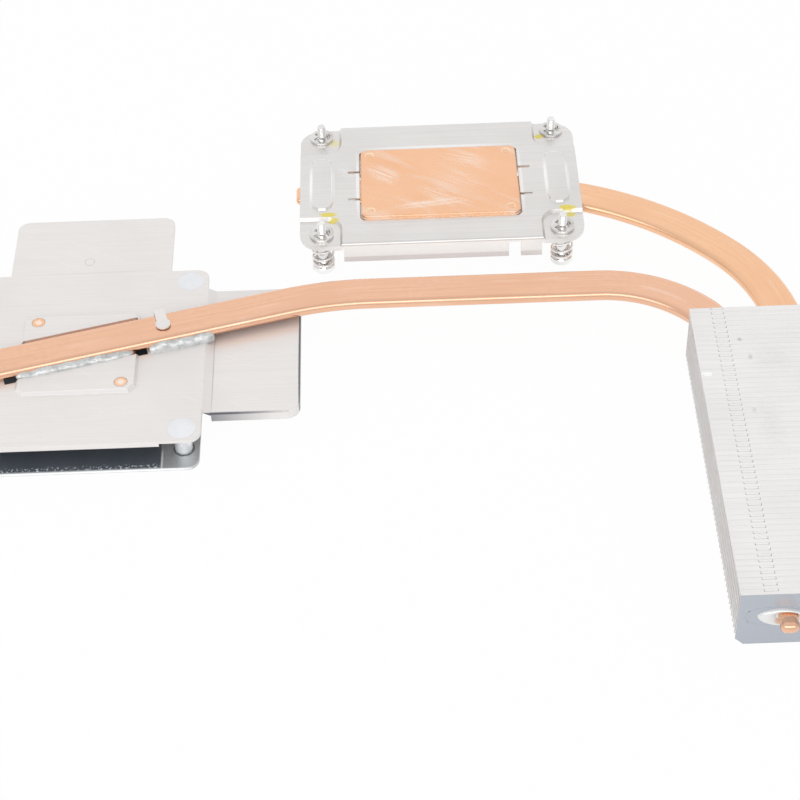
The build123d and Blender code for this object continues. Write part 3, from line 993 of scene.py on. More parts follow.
@dataclass
class CaptiveScrew(Turned):
    """A sprung captive screw of the processor bracket, with its clip and its spring.

    Attributes:
        low: the underside of its head.
        head_top: the top of its head.
        groove: the bottom and top of the clip's groove.
        tip: the top of its thread.
        head_radius: its head's radius.
        shank_radius: its shank's radius.
        groove_radius: the radius in the groove.
        thread_radius: its thread's outer radius.
        thread_depth: its thread's depth.
        pitch: its thread's pitch.
        thread_rings: rings to a turn of the thread.
        tip_radius: the radius of its flat tip.
        recess: the cross recess's half length, half width and depth.
        clip_radius: the clip's outer radius.
        clip_levels: the clip's underside and top.
        clip_edge: the bevel of the clip's edges.
        clip_steps: how many parts it is bent from.
        mouth: half of the clip's open angle in degrees.
        jaws: where the clip's jaws are, in degrees.
        jaw: half of a jaw's angle and the angle that it fades in, in degrees.
        jaw_reach: how far the jaws reach in from the ring.
        jaw_gap: the clearance between a jaw and the groove.
        spring_levels: the spring's lower and upper end.
        coil_radius: the radius of the wire's middle.
        wire_radius: the wire's radius.
        wire_sides: points round the wire.
        turns: the spring's turns, with a closed one at each end.
        turn_steps: rings to a turn of the spring.
        closed: the pitch of a closed turn, as a share of the wire's radius.
        press: how far the screw can be pressed; not used.
    """

    low: float = -11.24
    head_top: float = -9.74
    groove: Span = (-1.65, -0.95)
    tip: float = 2.0
    head_radius: float = 2.5
    shank_radius: float = 1.15
    groove_radius: float = 0.75
    thread_radius: float = 1.0
    thread_depth: float = 0.2
    pitch: float = 0.4
    thread_rings: int = 6
    tip_radius: float = 0.55
    recess: Point = (1.3, 0.4, 0.7)
    clip_radius: float = 2.75
    clip_levels: Span = (-1.6, -1.0)
    clip_edge: float = 0.09
    clip_steps: int = 82
    mouth: float = 16.0
    jaws: Point = (62.0, 180.0, 298.0)
    jaw: Span = (13.0, 12.0)
    jaw_reach: float = 1.15
    jaw_gap: float = 0.05
    spring_levels: Span = (-9.72, -2.62)
    coil_radius: float = 2.325
    wire_radius: float = 0.275
    wire_sides: int = 12
    turns: float = 4.5
    turn_steps: int = 30
    closed: float = 2.05
    press: float = 2.5

    def cross(self, share: float, level: float) -> Ring:
        """The outline of the cross recess.

        Args:
            share: its size as a share of the full outline.
            level: its height.

        Returns:
            The points in metres.
        """
        long, half, _ = self.recess
        points = []
        for i in range(self.sides):
            across = abs(math.cos(2 * math.pi * i / self.sides)) + 1e-6
            upright = abs(math.sin(2 * math.pi * i / self.sides)) + 1e-6
            reach = max(min(long / across, half / upright), min(long / upright, half / across))
            points.append(self.point(share * reach, 360 * i / self.sides, level))
        return points

    def thread(self) -> list[Ring]:
        """The rings of the threaded tip, with a helical ridge that fades out at the end.

        Returns:
            The rings from the groove upwards.
        """
        rows = []
        start = self.groove[1]
        steps = int((self.tip - start) / self.pitch * self.thread_rings)
        for step in range(steps + 1):
            level = start + (self.tip - start) * step / steps
            fade = max(min(1.0, (self.tip - level) / 0.35, (level - start) / 0.15 + 0.2), 0.0)
            ring = []
            for i in range(self.sides):
                phase = (level / self.pitch - i / self.sides) % 1.0
                ridge = 1 - abs(2 * phase - 1)
                radius = self.thread_radius - self.thread_depth * (1 - ridge * fade)
                ring.append(self.point(radius, 360 * i / self.sides, level))
            rows.append(ring)
        return rows + [self.circle(self.tip_radius, self.tip)]

    def screw(self, material: Material) -> None:
        """Make the screw: a cross recess below, a rounded head, a shank, a groove and a thread.

        Args:
            material: its finish.
        """
        low, top, head = self.low, self.head_top, self.head_radius
        rows = [self.cross(0.6, low + self.recess[2]), self.cross(0.9, low + 0.35)]
        rows.append(self.cross(1.0, low))
        rows += self.lathe((
            (head - 0.35, low),
            (head - 0.1, low + 0.08),
            (head, low + 0.3),
            (head, top - 0.15),
            (head - 0.15, top),
            (self.shank_radius, top),
            (self.shank_radius, self.groove[0]),
            (self.groove_radius, self.groove[0]),
            (self.groove_radius, self.groove[1]),
        ))
        mesh = skin_mesh(f"captive_screw_{self.number}", rows + self.thread())
        body, node = f"screw_{self.number}", f"cpu_screw_{self.number}"
        mesh_piece(mesh, body, material, node)

    def clip(self, material: Material) -> None:
        """Make the clip: an open ring with three jaws that grip the groove.

        Args:
            material: its finish.
        """
        low, top = self.clip_levels
        outer, edge = self.clip_radius, self.clip_edge
        rows = []
        for step in range(self.clip_steps + 1):
            angle = self.mouth + (360 - 2 * self.mouth) * step / self.clip_steps
            off = min(abs(angle - jaw) for jaw in self.jaws)
            back = self.jaw_reach * ease((off - self.jaw[0]) / self.jaw[1])
            inner = self.groove_radius + self.jaw_gap + back
            section = (
                (outer, low + edge),
                (outer, top - edge),
                (outer - edge, top),
                (inner + edge, top),
                (inner, top - edge),
                (inner, low + edge),
                (inner + edge, low),
                (outer - edge, low),
            )
            rows.append([self.point(radius, angle, level) for radius, level in section])
        mesh = skin_mesh(f"retaining_clip_{self.number}", rows)
        body, node = f"clip_{self.number}", f"cpu_clip_{self.number}"
        mesh_piece(mesh, body, material, node)

    def spring(self, material: Material) -> None:
        """Make the spring: round wire with closed ends.

        Args:
            material: its finish.
        """
        wire = self.wire_radius
        low, top = self.spring_levels[0] + wire, self.spring_levels[1] - wire
        closed = self.closed * wire
        steps = int(self.turns * self.turn_steps)
        rows = []
        for step in range(steps + 1):
            done = self.turns * step / steps
            middle = min(max((done - 1) / (self.turns - 2), 0.0), 1.0)
            level = low + closed * min(done, 1.0) + (top - low - 2 * closed) * middle
            level += closed * max(done - self.turns + 1, 0.0)
            ring = []
            for i in range(self.wire_sides):
                around = 2 * math.pi * i / self.wire_sides
                radius = self.coil_radius + wire * math.cos(around)
                ring.append(self.point(radius, 360 * done, level + wire * math.sin(around)))
            rows.append(ring)
        mesh = skin_mesh(f"screw_spring_{self.number}", rows)
        piece = mesh_piece(mesh, BODY, material, f"cpu_spring_{self.number}")
        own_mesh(piece)

    def build(self, steel: Material, ring: Material, wire: Material) -> None:
        """Make the three pieces.

        Args:
            steel: the screw's finish.
            ring: the clip's finish.
            wire: the spring's finish.
        """
        self.screw(steel)
        self.clip(ring)
        self.spring(wire)


@dataclass
class Post(Turned):
    """A turned post on the back plate, with its flat head pressed into the graphics plate.

    Attributes:
        sides: points round it.
        foot: the height of the back plate.
        plate: the underside and the top of the graphics plate.
        radius: its shank's radius.
        head: its head's radius.
        neck: how much thinner its foot is, and how high that part is.
        crown: how far its head stands up.
    """

    sides: int = 48
    foot: float = -10.7
    plate: Span = (-5.4, -4.6)
    radius: float = 1.85
    head: float = 2.97
    neck: Span = (0.3, 0.35)
    crown: float = 0.015

    def build(self, material: Material) -> None:
        """Make the post in place of its CAD node.

        Args:
            material: its finish.
        """
        under, top = self.plate
        thin, step = self.radius - self.neck[0], self.foot + self.neck[1]
        rows = self.lathe((
            (thin, self.foot),
            (thin, step),
            (self.radius, step + 0.1),
            (self.radius, under),
            (self.head, under),
            (self.head, top - 0.02),
            (self.head - 0.1, top + 0.8 * self.crown),
            (0.4 * self.head, top + self.crown),
        ))
        mesh = skin_mesh(f"turned_post_{self.number}", rows)
        mesh_piece(mesh, BODY, material, f"gpu_post_{self.number}")


@dataclass
class SolderBead:
    """A lumpy run of solder along the near side of the graphics pipe.

    Attributes:
        node: the CAD node that it stands for.
        start: where it starts along the pipe, from the plate's middle, in millimetres.
        length: its length.
        seat: the height of the sheet that its outer edge lies on.
        width: how far it reaches from the pipe.
        middle: where the pipe passes the plate's middle.
        slant: the pipe's direction in degrees.
        side: the pipe's half width.
        top: how high it climbs on the pipe.
        base: the height of its underside.
        rings: rings to a millimetre.
        arc_steps: faces across its top.
        bulge: how its section swells, where 1 is an ellipse.
        lump: the height of its small lumps.
    """

    node: str
    start: float
    length: float
    seat: float
    width: float
    middle: Span = (-79.3, -48.05)
    slant: float = 14.7
    side: float = 4.2
    top: float = -2.75
    base: float = -4.6
    rings: int = 6
    arc_steps: int = 12
    bulge: float = 1.25
    lump: float = 0.05

    def place(self, along: float, out: float, level: float) -> Vector:
        """A point by its place on the pipe.

        Args:
            along: its way along the pipe.
            out: its way out to the near side.
            level: its height.

        Returns:
            The point in metres.
        """
        turn = math.radians(self.slant)
        x = self.middle[0] + along * math.cos(turn) + out * math.sin(turn)
        y = self.middle[1] + along * math.sin(turn) - out * math.cos(turn)
        return Vector((x, y, level)) * MM

    def wave(self, along: float, pace: float, seed: float) -> float:
        """A smooth uneven wave along the bead."""
        return noise.noise(Vector((along * pace, seed, self.start)))

    def ring(self, share: float) -> Ring:
        """One outline of the bead.

        Args:
            share: how far along it is, from 0 to 1.

        Returns:
            The outline's points in metres.
        """
        along = self.start + self.length * share
        fade = max(1 - abs(2 * share - 1) ** 6, 0.0) ** 0.5
        wide = self.width * (0.25 + 0.75 * fade) * (0.95 + 0.14 * self.wave(along, 0.45, 3.1))
        high = self.base + (self.top - self.base) * (0.45 + 0.55 * fade)
        high += 0.32 * self.wave(along, 0.6, 7.7)
        points = []
        for i in range(self.arc_steps + 1):
            angle = math.radians(90 * i / self.arc_steps)
            coarse = noise.noise(Vector((along * 1.3, i * 0.42, 1.7 + self.start)))
            fine = noise.noise(Vector((along * 4.1, i * 1.1, 9.2)))
            lump = self.lump * (coarse + fine) * math.sin(2 * angle)
            out = self.side + wide * math.sin(angle) ** self.bulge + lump
            level = self.seat + (high - self.seat) * math.cos(angle) ** self.bulge + lump
            points.append(self.place(along, out, level))
        points.append(self.place(along, self.side + wide, self.seat - 0.15))
        points.append(self.place(along, self.side, self.base + 0.02))
        return points

    def build(self, material: Material) -> None:
        """Make the bead in place of its CAD node.

        Args:
            material: its finish.
        """
        steps = int(self.length * self.rings)
        rows = [self.ring(step / steps) for step in range(steps + 1)]
        mesh = skin_mesh(self.node + "_run", rows)
        mesh_piece(mesh, BODY, material, self.node)


@dataclass
class SolderCollar:
    """The pointed dome of solder round a pipe's neck, on a lip that closes the last fin's slot.

    Attributes:
        node: the CAD node that it stands for.
        x: the pipe's middle in millimetres.
        face: the last fin's outer face.
        level: the pipe's height.
        lip: the lip's width, height and way to the right of the pipe's middle.
        lip_levels: how far the lip's back and front stand out from the last fin.
        blunt: the shape of the lip's ends.
        dome: the width, height and way to the right of the dome's outline.
        hole: the same of the opening.
        hole_depth: how deep the opening is.
        rise: how far the dome stands out.
        dome_steps: faces across the dome.
        points: points round it.
    """

    node: str
    x: float
    face: float = -127.885
    level: float = -3.3
    lip: Point = (11.6, 5.2, 0.8)
    lip_levels: Span = (-0.02, 0.012)
    blunt: float = -0.6
    dome: Point = (9.2, 4.7, 1.75)
    hole: Point = (4.0, 2.7, 2.65)
    hole_depth: float = 0.3
    rise: float = 0.75
    dome_steps: int = 14
    points: int = 64

    def oval(self, size: Point, out: float, point: float) -> Ring:
        """An oval with blunt or pointed ends.

        Args:
            size: its width, height and way to the right.
            out: how far it stands in front of the last fin.
            point: from -0.6 for blunt ends to 1 for pointed ones.

        Returns:
            The points in metres.
        """
        wide, high, right = size
        power = 0.75 + 0.45 * point
        ring = []
        for i in range(self.points):
            angle = 2 * math.pi * i / self.points
            cosine, sine = math.cos(angle), math.sin(angle)
            across = math.copysign(abs(cosine) ** power, cosine)
            uneven = 1 + 0.03 * noise.noise(Vector((cosine * 2, sine * 2, self.x)))
            x = self.x + right + wide / 2 * across * uneven
            z = self.level + high / 2 * sine * uneven
            ring.append(Vector((x, self.face - out, z)) * MM)
        return ring

    def build(self, solder: Material, lip: Material) -> None:
        """Make the dome and its lip in place of their CAD node.

        Args:
            solder: the dome's finish.
            lip: the lip's finish.
        """
        rows = [self.oval(self.lip, out, self.blunt) for out in self.lip_levels]
        for step in range(self.dome_steps + 1):
            share = step / self.dome_steps
            size = tuple(a + (b - a) * share for a, b in zip(self.dome, self.hole))
            out = 0.014 + self.rise * math.sin(math.pi * share ** 0.75) ** 0.8
            rows.append(self.oval(size, out, 1 - share))
        rows.append(self.oval(self.hole, -self.hole_depth, 0.0))
        mesh = skin_mesh(self.node + "_ring", rows)
        mesh_piece(mesh, BODY, solder, self.node)
        mesh.materials.append(lip)
        for face in mesh.polygons[: 2 * self.points]:
            face.material_index = 1


@dataclass
class FinTongues:
    """The tongues that hook each fin's flange into the notch of the one before it.

    Attributes:
        left: the stack's left side in millimetres.
        width: its width.
        near: its near face.
        top: its top.
        count: how many fins it has.
        pitch: from fin to fin.
        reach: a flange's length.
        from_edge: from the stack's side to a notch's middle.
        notch: a notch's width and depth.
        gap: the clearance round a tongue.
        cut: how much of a tongue's front corners is cut off.
        sheet: the fins' thickness.
        sunk: how far a tongue's top lies below the stack's.
        strip: from the tongues' underside down to a strip's top and its underside.
        strip_margin: how far a strip reaches past the notches, and starts behind the near face.
    """

    left: float = 51.1
    width: float = 32.5
    near: float = -127.885
    top: float = 3.0
    count: int = 55
    pitch: float = 1.427
    reach: float = 1.407
    from_edge: float = 5.8
    notch: Span = (2.7, 0.6)
    gap: float = 0.045
    cut: float = 0.22
    sheet: float = 0.22
    sunk: float = 0.02
    strip: Span = (0.03, 0.13)
    strip_margin: float = 0.3

    def outline(self, x: float, back: float) -> list[Span]:
        """One tongue from above, with cut front corners.

        Args:
            x: its middle.
            back: where it leaves its own fin.

        Returns:
            The points in millimetres.
        """
        half = self.notch[0] / 2 - self.gap
        front = back - self.pitch + self.reach - self.notch[1] + self.gap
        left = [(x - half, back + 0.02), (x - half, front + self.cut), (x - half + self.cut, front)]
        return left + [(2 * x - across, y) for across, y in reversed(left)]

    def slab(self, skin: bmesh.types.BMesh, shape: list[Span], low: float, high: float) -> None:
        """Add a flat closed slab to a mesh.

        Args:
            skin: the mesh to add to.
            shape: its outline from above in millimetres.
            low: the height of its underside.
            high: the height of its top.
        """
        upper, lower = (
            [skin.verts.new(Vector((x, y, level)) * MM) for x, y in shape] for level in (high, low)
        )
        skin.faces.new(upper)
        skin.faces.new(list(reversed(lower)))
        for i in range(len(shape)):
            j = (i + 1) % len(shape)
            skin.faces.new((upper[i], lower[i], lower[j], upper[j]))

    def build(self, material: Material) -> None:
        """Make both rows as one piece, with a strip below each that closes the gaps to the eye.

        Args:
            material: its finish.
        """
        skin = bmesh.new()
        low = self.top - self.sheet
        for x in (self.left + self.from_edge, self.left + self.width - self.from_edge):
            for index in range(1, self.count + 1):
                shape = self.outline(x, self.near + index * self.pitch)
                self.slab(skin, shape, low, self.top - self.sunk)
            reach = self.notch[0] / 2 + self.strip_margin
            near, far = self.near + self.strip_margin, self.near + self.count * self.pitch
            shape = [(x - reach, near), (x + reach, near), (x + reach, far), (x - reach, far)]
            self.slab(skin, shape, low - self.strip[1], low - self.strip[0])
        mesh_piece(closed_mesh("fin_tongues", skin), BODY, material, None)


@dataclass(frozen=True)
class PhotoCamera:
    """The camera that took the photograph, as fitted to the part's own edges.

    Attributes:
        focal_px: focal length in pixels of the picture.
        picture_px: the picture's width in pixels.
        pitch: how far it looks down, in degrees.
        roll: how far it leans, in degrees.
        distance: from the lens to the target, in metres.
        target: the point in the middle of the picture.
        sensor: the sensor's width in millimetres.
        clip_start: the nearest that it sees, in metres.
    """

    focal_px: float = 2097.3
    picture_px: float = 800.0
    pitch: float = 45.28
    roll: float = 2.07
    distance: float = 0.4480
    target: Point = (-0.01085, -0.0592, -0.0115)
    sensor: float = 36.0
    clip_start: float = 0.01

    def build(self) -> None:
        """Make the camera the scene's own."""
        data = bpy.data.cameras.new("photo_camera")
        data.sensor_width = self.sensor
        data.lens = self.focal_px / self.picture_px * self.sensor
        data.clip_start = self.clip_start
        camera = bpy.data.objects.new("photo_camera", data)
        bpy.context.scene.collection.objects.link(camera)
        pitch, roll = math.radians(self.pitch), math.radians(self.roll)
        ahead = Vector((0, math.cos(pitch), -math.sin(pitch)))
        level = Vector((1, 0, 0))
        up = Vector((0, math.sin(pitch), math.cos(pitch)))
        right = level * math.cos(roll) - up * math.sin(roll)
        above = level * math.sin(roll) + up * math.cos(roll)
        turn = Matrix((right, above, -ahead)).transposed().to_4x4()
        place = Vector(self.target) - ahead * self.distance
        camera.matrix_world = Matrix.Translation(place) @ turn
        bpy.context.scene.camera = camera


@dataclass(frozen=True)
class SoftBox:
    """An even rectangle of light that faces the part.

    Attributes:
        name: the lamp's name.
        place: where it stands, in metres.
        size: its length and height in metres.
        level: how bright its face is, where 1 is white.
        mirrored: whether it is there for the reflections, or for the light.
        aim: the point that it faces, in metres.
    """

    name: str
    place: Point
    size: Span
    level: float
    mirrored: bool
    aim: Point = (0.0, -0.05, 0.0)

    def build(self) -> None:
        """Hang the lamp."""
        data = bpy.data.lights.new(self.name, "AREA")
        data.shape = "RECTANGLE"
        data.size, data.size_y = self.size
        data.energy = math.pi * self.size[0] * self.size[1] * self.level
        lamp = bpy.data.objects.new(self.name, data)
        bpy.context.scene.collection.objects.link(lamp)
        lamp.location = self.place
        lamp.visible_glossy = self.mirrored
        lamp.visible_diffuse = not self.mirrored
        way = Vector(self.aim) - Vector(self.place)
        lamp.rotation_euler = way.to_track_quat("-Z", "Y").to_euler()


@dataclass(frozen=True)
class Studio:
    """A white table in a pale tent that is darker on the camera's side, with three soft boxes.

    Attributes:
        floor_z: the height of the table in metres.
        floor_half: the table's half size in metres.
        floor_paint: the table's grey under the lamps.
        floor_share: how much of the table's white is its own to the lens and in reflections.
        tent: the tent's light on the camera's side and at the back.
        lean: how much the tent's light depends on the direction back and up.
        ends: the lean where the tent is darkest and brightest.
        boxes: the soft boxes in front and on the left.
    """

    floor_z: float = -0.0115
    floor_half: float = 2.0
    floor_paint: float = 0.88
    floor_share: float = 0.97
    tent: Span = (0.76, 0.97)
    lean: Span = (1.0, 0.25)
    ends: Span = (0.0, 0.75)
    boxes: tuple[SoftBox, ...] = (
        SoftBox("front_box", (-0.1, -0.95, 0.36), (1.7, 0.7), 1.05, mirrored=False),
        SoftBox("front_strip", (-0.1, -0.8, 0.62), (1.7, 0.42), 1.3, mirrored=True),
        SoftBox("left_box", (-1.0, -0.25, 0.34), (1.3, 0.6), 1.0, mirrored=False),
    )

    def seen(self, nodes: Nodes) -> Socket:
        """Whether a ray comes from the lens, a reflection or a clear piece.

        Args:
            nodes: the tree to work in.

        Returns:
            1 for such a ray and 0 for others.
        """
        path = nodes.node("LightPath", {}).outputs
        found = nodes.math("MAXIMUM", path["Is Camera Ray"], path["Is Glossy Ray"])
        return nodes.math("MAXIMUM", found, path["Is Transmission Ray"])

    def floor(self) -> None:
        """Lay the table: white to the lens and in reflections, with the part's soft shadow."""
        half = self.floor_half
        corners = [(-half, -half, 0), (half, -half, 0), (half, half, 0), (-half, half, 0)]
        mesh = bpy.data.meshes.new("table")
        mesh.from_pydata(corners, [], [(0, 1, 2, 3)])
        table = bpy.data.objects.new("table", mesh)
        table.location.z = self.floor_z
        bpy.context.scene.collection.objects.link(table)
        material = bpy.data.materials.new("table_white")
        nodes = Nodes(material)
        paint = nodes.node("BsdfDiffuse", {"Color": (*[self.floor_paint] * 3, 1)})
        share = nodes.math("MULTIPLY", self.seen(nodes), self.floor_share)
        surface = nodes.blend(share, paint, nodes.node("Emission", {}))
        nodes.node("OutputMaterial", {"Surface": surface})
        mesh.materials.append(material)

    def surround(self) -> None:
        """Set a world that is white to the lens and a soft tent to the part."""
        world = bpy.data.worlds.new("tent")
        bpy.context.scene.world = world
        nodes = Nodes(world)
        way = nodes.node("TexCoord", {}).outputs["Generated"]
        lean = nodes.vector("DOT_PRODUCT", way, (0.0, *self.lean), "Value")
        tent = nodes.node("Background", {"Color": nodes.ramp(lean, *self.ends, *self.tent)})
        white = nodes.node("Background", {"Color": (1, 1, 1, 1)})
        lens = nodes.node("LightPath", {}).outputs["Is Camera Ray"]
        nodes.node("OutputWorld", {"Surface": nodes.blend(lens, tent, white)})

    def build(self) -> None:
        """Make the table, the tent and the boxes."""
        bpy.context.scene.view_settings.view_transform = "Standard"
        self.floor()
        self.surround()
        for box in self.boxes:
            box.build()


def dress(node: str, material: Material) -> None:
    """Give a CAD node a finish.

    Args:
        node: its name.
        material: the finish.
    """
    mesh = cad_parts[node].data
    mesh.materials.clear()
    mesh.materials.append(material)
    LOG.info("%s dressed in %s", node, material.name)


YELLOW = (0.80, 0.66, 0.06)
PALE_YELLOW = (0.84, 0.78, 0.42)
MILK = (0.98, 0.86, 0.77)
# white for painted highlights along pressed edges, and for a wipe smear
HIGHLIGHT_AND_WIPE_WHITE = (0.98, 0.98, 0.975)
STAIN = (0.62, 0.61, 0.60)


def at(levels: Span, *marks: Mark) -> tuple[Mark, ...]:
    """Keep marks to the faces between two heights."""
    return tuple(replace(mark, levels=levels) for mark in marks)


def rim(middle: Span, reach: Span, strength: float = 0.9) -> Mark:
    """A painted highlight: a bright line along a pressed edge."""
    return Mark(middle, reach, HIGHLIGHT_AND_WIPE_WHITE, strength, ragged=0.1, soft=0.6)


def wipe(middle: Span, reach: Span, strength: float, turn: float, soft: float = 0.9) -> Mark:
    """A milky smear on the copper."""
    return Mark(middle, reach, MILK, strength, turn=turn, soft=soft, streaked=True)


BRACKET_TOP = (-1.7, 0.5)
BRACKET_RAISED = (-1.1, 0.5)
BRACKET_INK_AND_PAINTED_LIGHT = (
    *at(
        BRACKET_TOP,
        Mark((-25.6, -10.0), (2.0, 0.8), YELLOW),
        Mark((-24.4, -11.7), (1.3, 0.7), YELLOW, 0.8),
        Mark((28.6, -10.2), (2.1, 0.9), YELLOW),
        Mark((29.2, -12.0), (1.2, 0.8), YELLOW, 0.8),
        Mark((-24.2, 16.9), (1.4, 1.4), PALE_YELLOW, 0.7),
        Mark((24.0, 16.6), (1.1, 0.9), YELLOW, 0.85),
        # painted highlights along the ribs' edges and ends
        *(rim((x, 0.6), (0.45, 8.6)) for x in (-29.5, -24.5, 24.5, 29.5)),
        *(rim((x, 9.5), (2.3, 0.4), 0.8) for x in (-27.0, 27.0)),
    ),
    *at(
        BRACKET_RAISED,
        # painted highlights along the raised edges round the opening
        *(rim((x, 0.0), (0.5, 12.5), 0.8) for x in (-18.8, 18.8)),
        rim((0.0, 13.3), (19.5, 0.6), 0.85),
    ),
    # painted highlight on the front lip's upper part, then painted shade on its lower band
    *at((-4.6, -1.4), Mark((-1.0, -20.3), (27.0, 0.4), (0.93, 0.925, 0.91), 0.8, ragged=0.0)),
    *at((-6.5, -4.6), Mark((-1.0, -20.3), (27.0, 0.4), (0.70, 0.65, 0.64), 0.7, ragged=0.0)),
    *at(
        BRACKET_TOP,
        Mark((-21.5, 5.0), (3.4, 1.6), HIGHLIGHT_AND_WIPE_WHITE, 0.55, turn=-34.0, soft=0.8, streaked=True),
    ),
)
PLATE_STAMP_AND_PAINTED_SHADE = (
    *at(
        (-5.0, -3.4),
        Mark((-79.4, -18.9), (1.25, 1.35), (0.60, 0.58, 0.57), 0.55, ring=0.3, ragged=0.12),
        # painted shade along the rear tab's fold line
        Mark((-78.5, -22.6), (17.5, 0.22), (0.70, 0.68, 0.67), 0.5, turn=0.6, ragged=0.2),
    ),
    # painted shade along the joggle bend between the plate and the wing
    Mark((-50.4, -54.0), (0.13, 13.5), (0.40, 0.39, 0.40), 0.6, ragged=0.1),
    # painted shade on the wing's right edge
    Mark((-31.9, -50.0), (0.42, 21.0), (0.10, 0.10, 0.12), 0.95, ragged=0.1),
    # painted shade on the wing's front lip, darkest at its left end, and along its top edge
    *at(
        (-9.5, -5.5),
        Mark((-52.0, -66.95), (14.0, 0.4), (0.20, 0.20, 0.23), 0.85, ragged=0.0, soft=1.0),
    ),
    *at((-6.1, -5.5), Mark((-50.5, -66.95), (18.0, 0.3), (0.08, 0.08, 0.10), ragged=0.1, soft=0.8)),
    # painted shade on the embossed pad's front slope
    *at((-4.5, -3.9), Mark((-79.3, -60.7), (15.5, 0.8), (0.72, 0.71, 0.70), ragged=0.0)),
)
STACK_MARKS = at(
    (2.6, 3.4),
    Mark((52.4, -69.3), (1.25, 0.65), (1.0, 1.0, 1.0), 1.0, turn=-12.0),
    Mark((60.4, -59.3), (0.6, 0.7), (0.34, 0.29, 0.28), 0.6, soft=0.9),
    Mark((61.9, -64.7), (0.6, 1.0), (0.40, 0.36, 0.35), 0.5, soft=0.9),
    Mark((60.5, -80.0), (0.7, 0.9), (0.48, 0.46, 0.45), 0.35, soft=0.9),
    Mark((63.5, -84.0), (3.0, 9.0), STAIN, 0.22, ragged=1.2, soft=1.0),
    Mark((66.5, -66.0), (5.0, 4.0), STAIN, 0.18, ragged=1.2, soft=1.0),
)
CLINCHES = ((-15.9, -9.9), (-15.9, 9.9), (15.9, -9.9), (15.9, 9.9))
PEGS = ((-88.9, -39.1), (-69.7, -58.4))
COPPER_WIPES_AND_PAINTED_HIGHLIGHTS = (
    wipe((6.3, 7.4), (6.0, 3.2), 0.6, -20.0, 1.0),
    wipe((-2.5, -8.2), (9.5, 1.4), 0.9, 8.0, 0.8),
    wipe((1.0, -6.0), (8.0, 2.2), 0.7, -30.0),
    wipe((-13.0, 3.0), (5.0, 3.2), 0.8, -36.0),
    wipe((4.0, -1.0), (9.0, 5.0), 0.35, -30.0, 1.0),
    # painted highlight rings round the clinch dents
    *(Mark(p, (1.1, 1.1), (1.0, 0.84, 0.62), 0.7, ring=0.35, ragged=0.3) for p in CLINCHES),
    *(Mark(p, (0.8, 0.8), MILK, 0.75) for p in PEGS),
)
BACK_MARKS_AND_PAINTED_LIGHT = (
    *at(
        (-10.9, -10.0),
        Mark((-60.75, -75.0), (0.2, 3.5), (0.85, 0.87, 0.88), 0.8, ragged=0.15),
        # painted shade ring round the post's foot
        Mark((-56.3, -71.95), (2.3, 2.3), (0.08, 0.09, 0.09), ring=0.2, ragged=0.1),
    ),
    # painted highlight along the back plate's front rim
    *at((-11.4, -10.85), Mark((-79.3, -77.4), (30.0, 0.5), (0.97, 0.975, 0.98), 0.95, ragged=0.0)),
)
SCREWS = ((-27.05, -16.0), (-27.05, 18.8), (27.05, -16.0), (27.05, 18.8))
POSTS = ((-102.3, -71.95), (-102.3, -26.55), (-56.3, -71.95), (-56.3, -26.55))
STACK_RUN = (72.985, 0, 0)
CPU_PIPE = HeatPipe(
    "cpu_heat_pipe",
    (-29.7, 0.0),
    0.0,
    ((38.6741, 0, 0), (0, 70.2, 50.1), (0, 40.8914, 39.9), STACK_RUN),
)
GPU_PIPE = HeatPipe(
    "gpu_heat_pipe",
    (-99.6126, -53.3789),
    14.7,
    ((66.4893, 0, 0), (0, 72, 14.7), (50.3787, 0, 0), (0, 28.8, 47), (0, 11.8645, 43), STACK_RUN),
)
BRACKET_SHEET = RolledSheet(
    "bracket_sheet", (0.82, 0.80, 0.785), (0.70, 0.68, 0.665), marks=BRACKET_INK_AND_PAINTED_LIGHT
)
PLATE_SHEET = RolledSheet(
    "plate_sheet",
    (0.85, 0.82, 0.80),
    (0.76, 0.73, 0.715),
    (0.26, 0.38),
    depth=1.2e-6,
    marks=PLATE_STAMP_AND_PAINTED_SHADE,
    metal=0.4,
)
FIN_SHEET = RolledSheet(
    "fin_sheet",
    (0.905, 0.885, 0.875),
    (0.76, 0.74, 0.73),
    rounding=0.14 * MM,
    marks=STACK_MARKS,
    # the last sheet is painted darker and bluer, as shade on the stack's near face
    last_sheet_painted_shade=(-127.865 * MM, (0.43, 0.46, 0.51)),
    metal=0.3,
)
BACK_SHEET = RolledSheet(
    "back_sheet",
    (0.66, 0.68, 0.69),
    (0.48, 0.50, 0.51),
    (0.30, 0.46),
    marks=BACK_MARKS_AND_PAINTED_LIGHT,
    metal=0.65,
)
COPPER = WipedCopper(
    "cold_plate_copper",
    (0.96, 0.575, 0.365),
    (0.90, 0.50, 0.30),
    (0.96, 0.76, 0.63),
    marks=COPPER_WIPES_AND_PAINTED_HIGHLIGHTS,
)
TUBE = DrawnCopper("pipe_copper", (0.93, 0.575, 0.40), (0.82, 0.47, 0.31), (0.95, 0.68, 0.54))
WARM_TUBE = DrawnCopper(
    "warm_pipe_copper", (0.98, 0.615, 0.39), (0.88, 0.51, 0.31), (0.98, 0.72, 0.54)
)
SOLDER = Bright(
    "solder", (0.68, 0.69, 0.685), (0.36, 0.38, 0.375), (0.28, 0.46), 3200.0, 4e-5, 0.6
)
DOME = Bright(
    "collar_solder", (0.87, 0.875, 0.87), (0.72, 0.725, 0.72), (0.22, 0.34), 500.0, 4e-6, 0.7
)
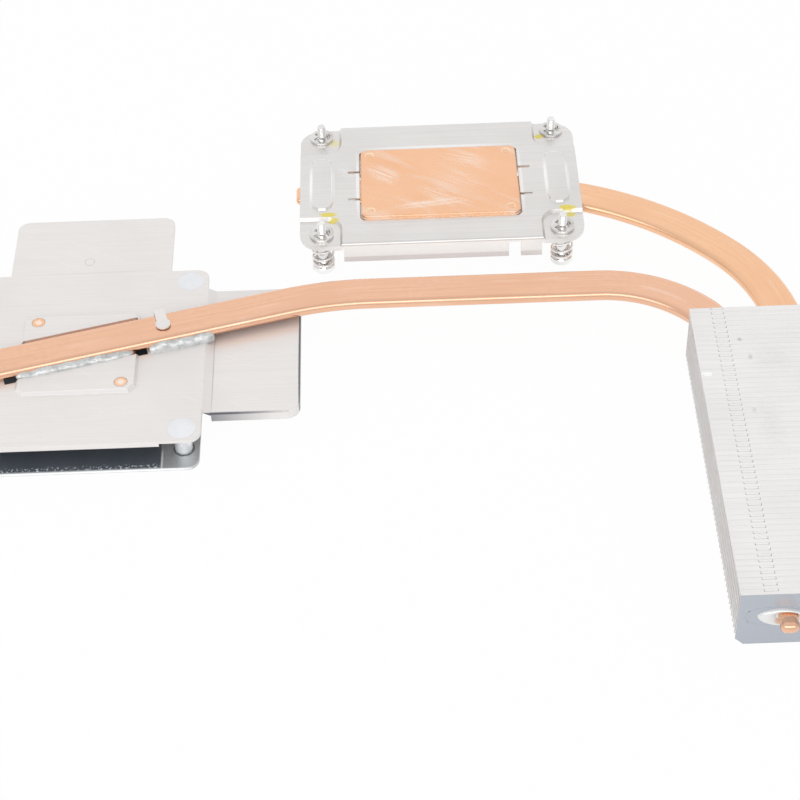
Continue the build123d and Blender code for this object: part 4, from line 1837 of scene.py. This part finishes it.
PLATING = Bright(
    "screw_plating", (0.92, 0.915, 0.905), (0.66, 0.65, 0.64), (0.08, 0.20), 700.0, 3e-6
)
CLIP_STEEL = Bright(
    "clip_steel", (0.80, 0.785, 0.77), (0.52, 0.50, 0.49), (0.20, 0.34), 700.0, 3e-6
)
WIRE = Bright("spring_wire", (0.97, 0.955, 0.94), (0.72, 0.70, 0.68), (0.16, 0.30), 700.0, 3e-6)
POST_STEEL = Bright(
    "post_steel", (0.88, 0.89, 0.915), (0.76, 0.77, 0.80), (0.22, 0.36), 500.0, 4e-6, 0.5
)
FILM = Film("insulating_film", (0.073, 0.089, 0.110), (0.17, 0.18, 0.19))


def main() -> None:
    """Build the studio, the finishes and the pieces in order."""
    logging.basicConfig(level=logging.INFO)
    PhotoCamera().build()
    Studio().build()
    bracket, plate, fins = (f.build() for f in (BRACKET_SHEET, PLATE_SHEET, FIN_SHEET))
    copper, tube, warm_tube = (f.build() for f in (COPPER, TUBE, WARM_TUBE))
    solder, dome, plating = (f.build() for f in (SOLDER, DOME, PLATING))
    clips, wire, posts = (f.build() for f in (CLIP_STEEL, WIRE, POST_STEEL))
    back, film = BACK_SHEET.build(), FILM.build()
    LOG.info("finishes made")
    dress("cpu_bracket", bracket)
    dress("gpu_plate", plate)
    dress("fin_stack", fins)
    dress("gpu_cold_plate", copper)
    ColdPlate().build(copper)
    dress("gpu_back_plate", back)
    dress("gpu_film", film)
    CPU_PIPE.build(warm_tube)
    GPU_PIPE.build(tube)
    for number, (x, y) in enumerate(SCREWS, 1):
        CaptiveScrew(number, x, y).build(plating, clips, wire)
    for number, (x, y) in enumerate(POSTS, 1):
        Post(number, x, y).build(posts)
    SolderBead("gpu_bead_pad", -14.4, 25.4, -3.78, 1.3).build(solder)
    SolderBead("gpu_bead_edge", 14.3, 14.5, -4.58, 1.5).build(solder)
    SolderCollar("gpu_pipe_collar", 57.6).build(dome, fins)
    SolderCollar("cpu_pipe_collar", 72.35).build(dome, fins)
    FinTongues().build(fins)


if __name__ == "__main__":
    main()
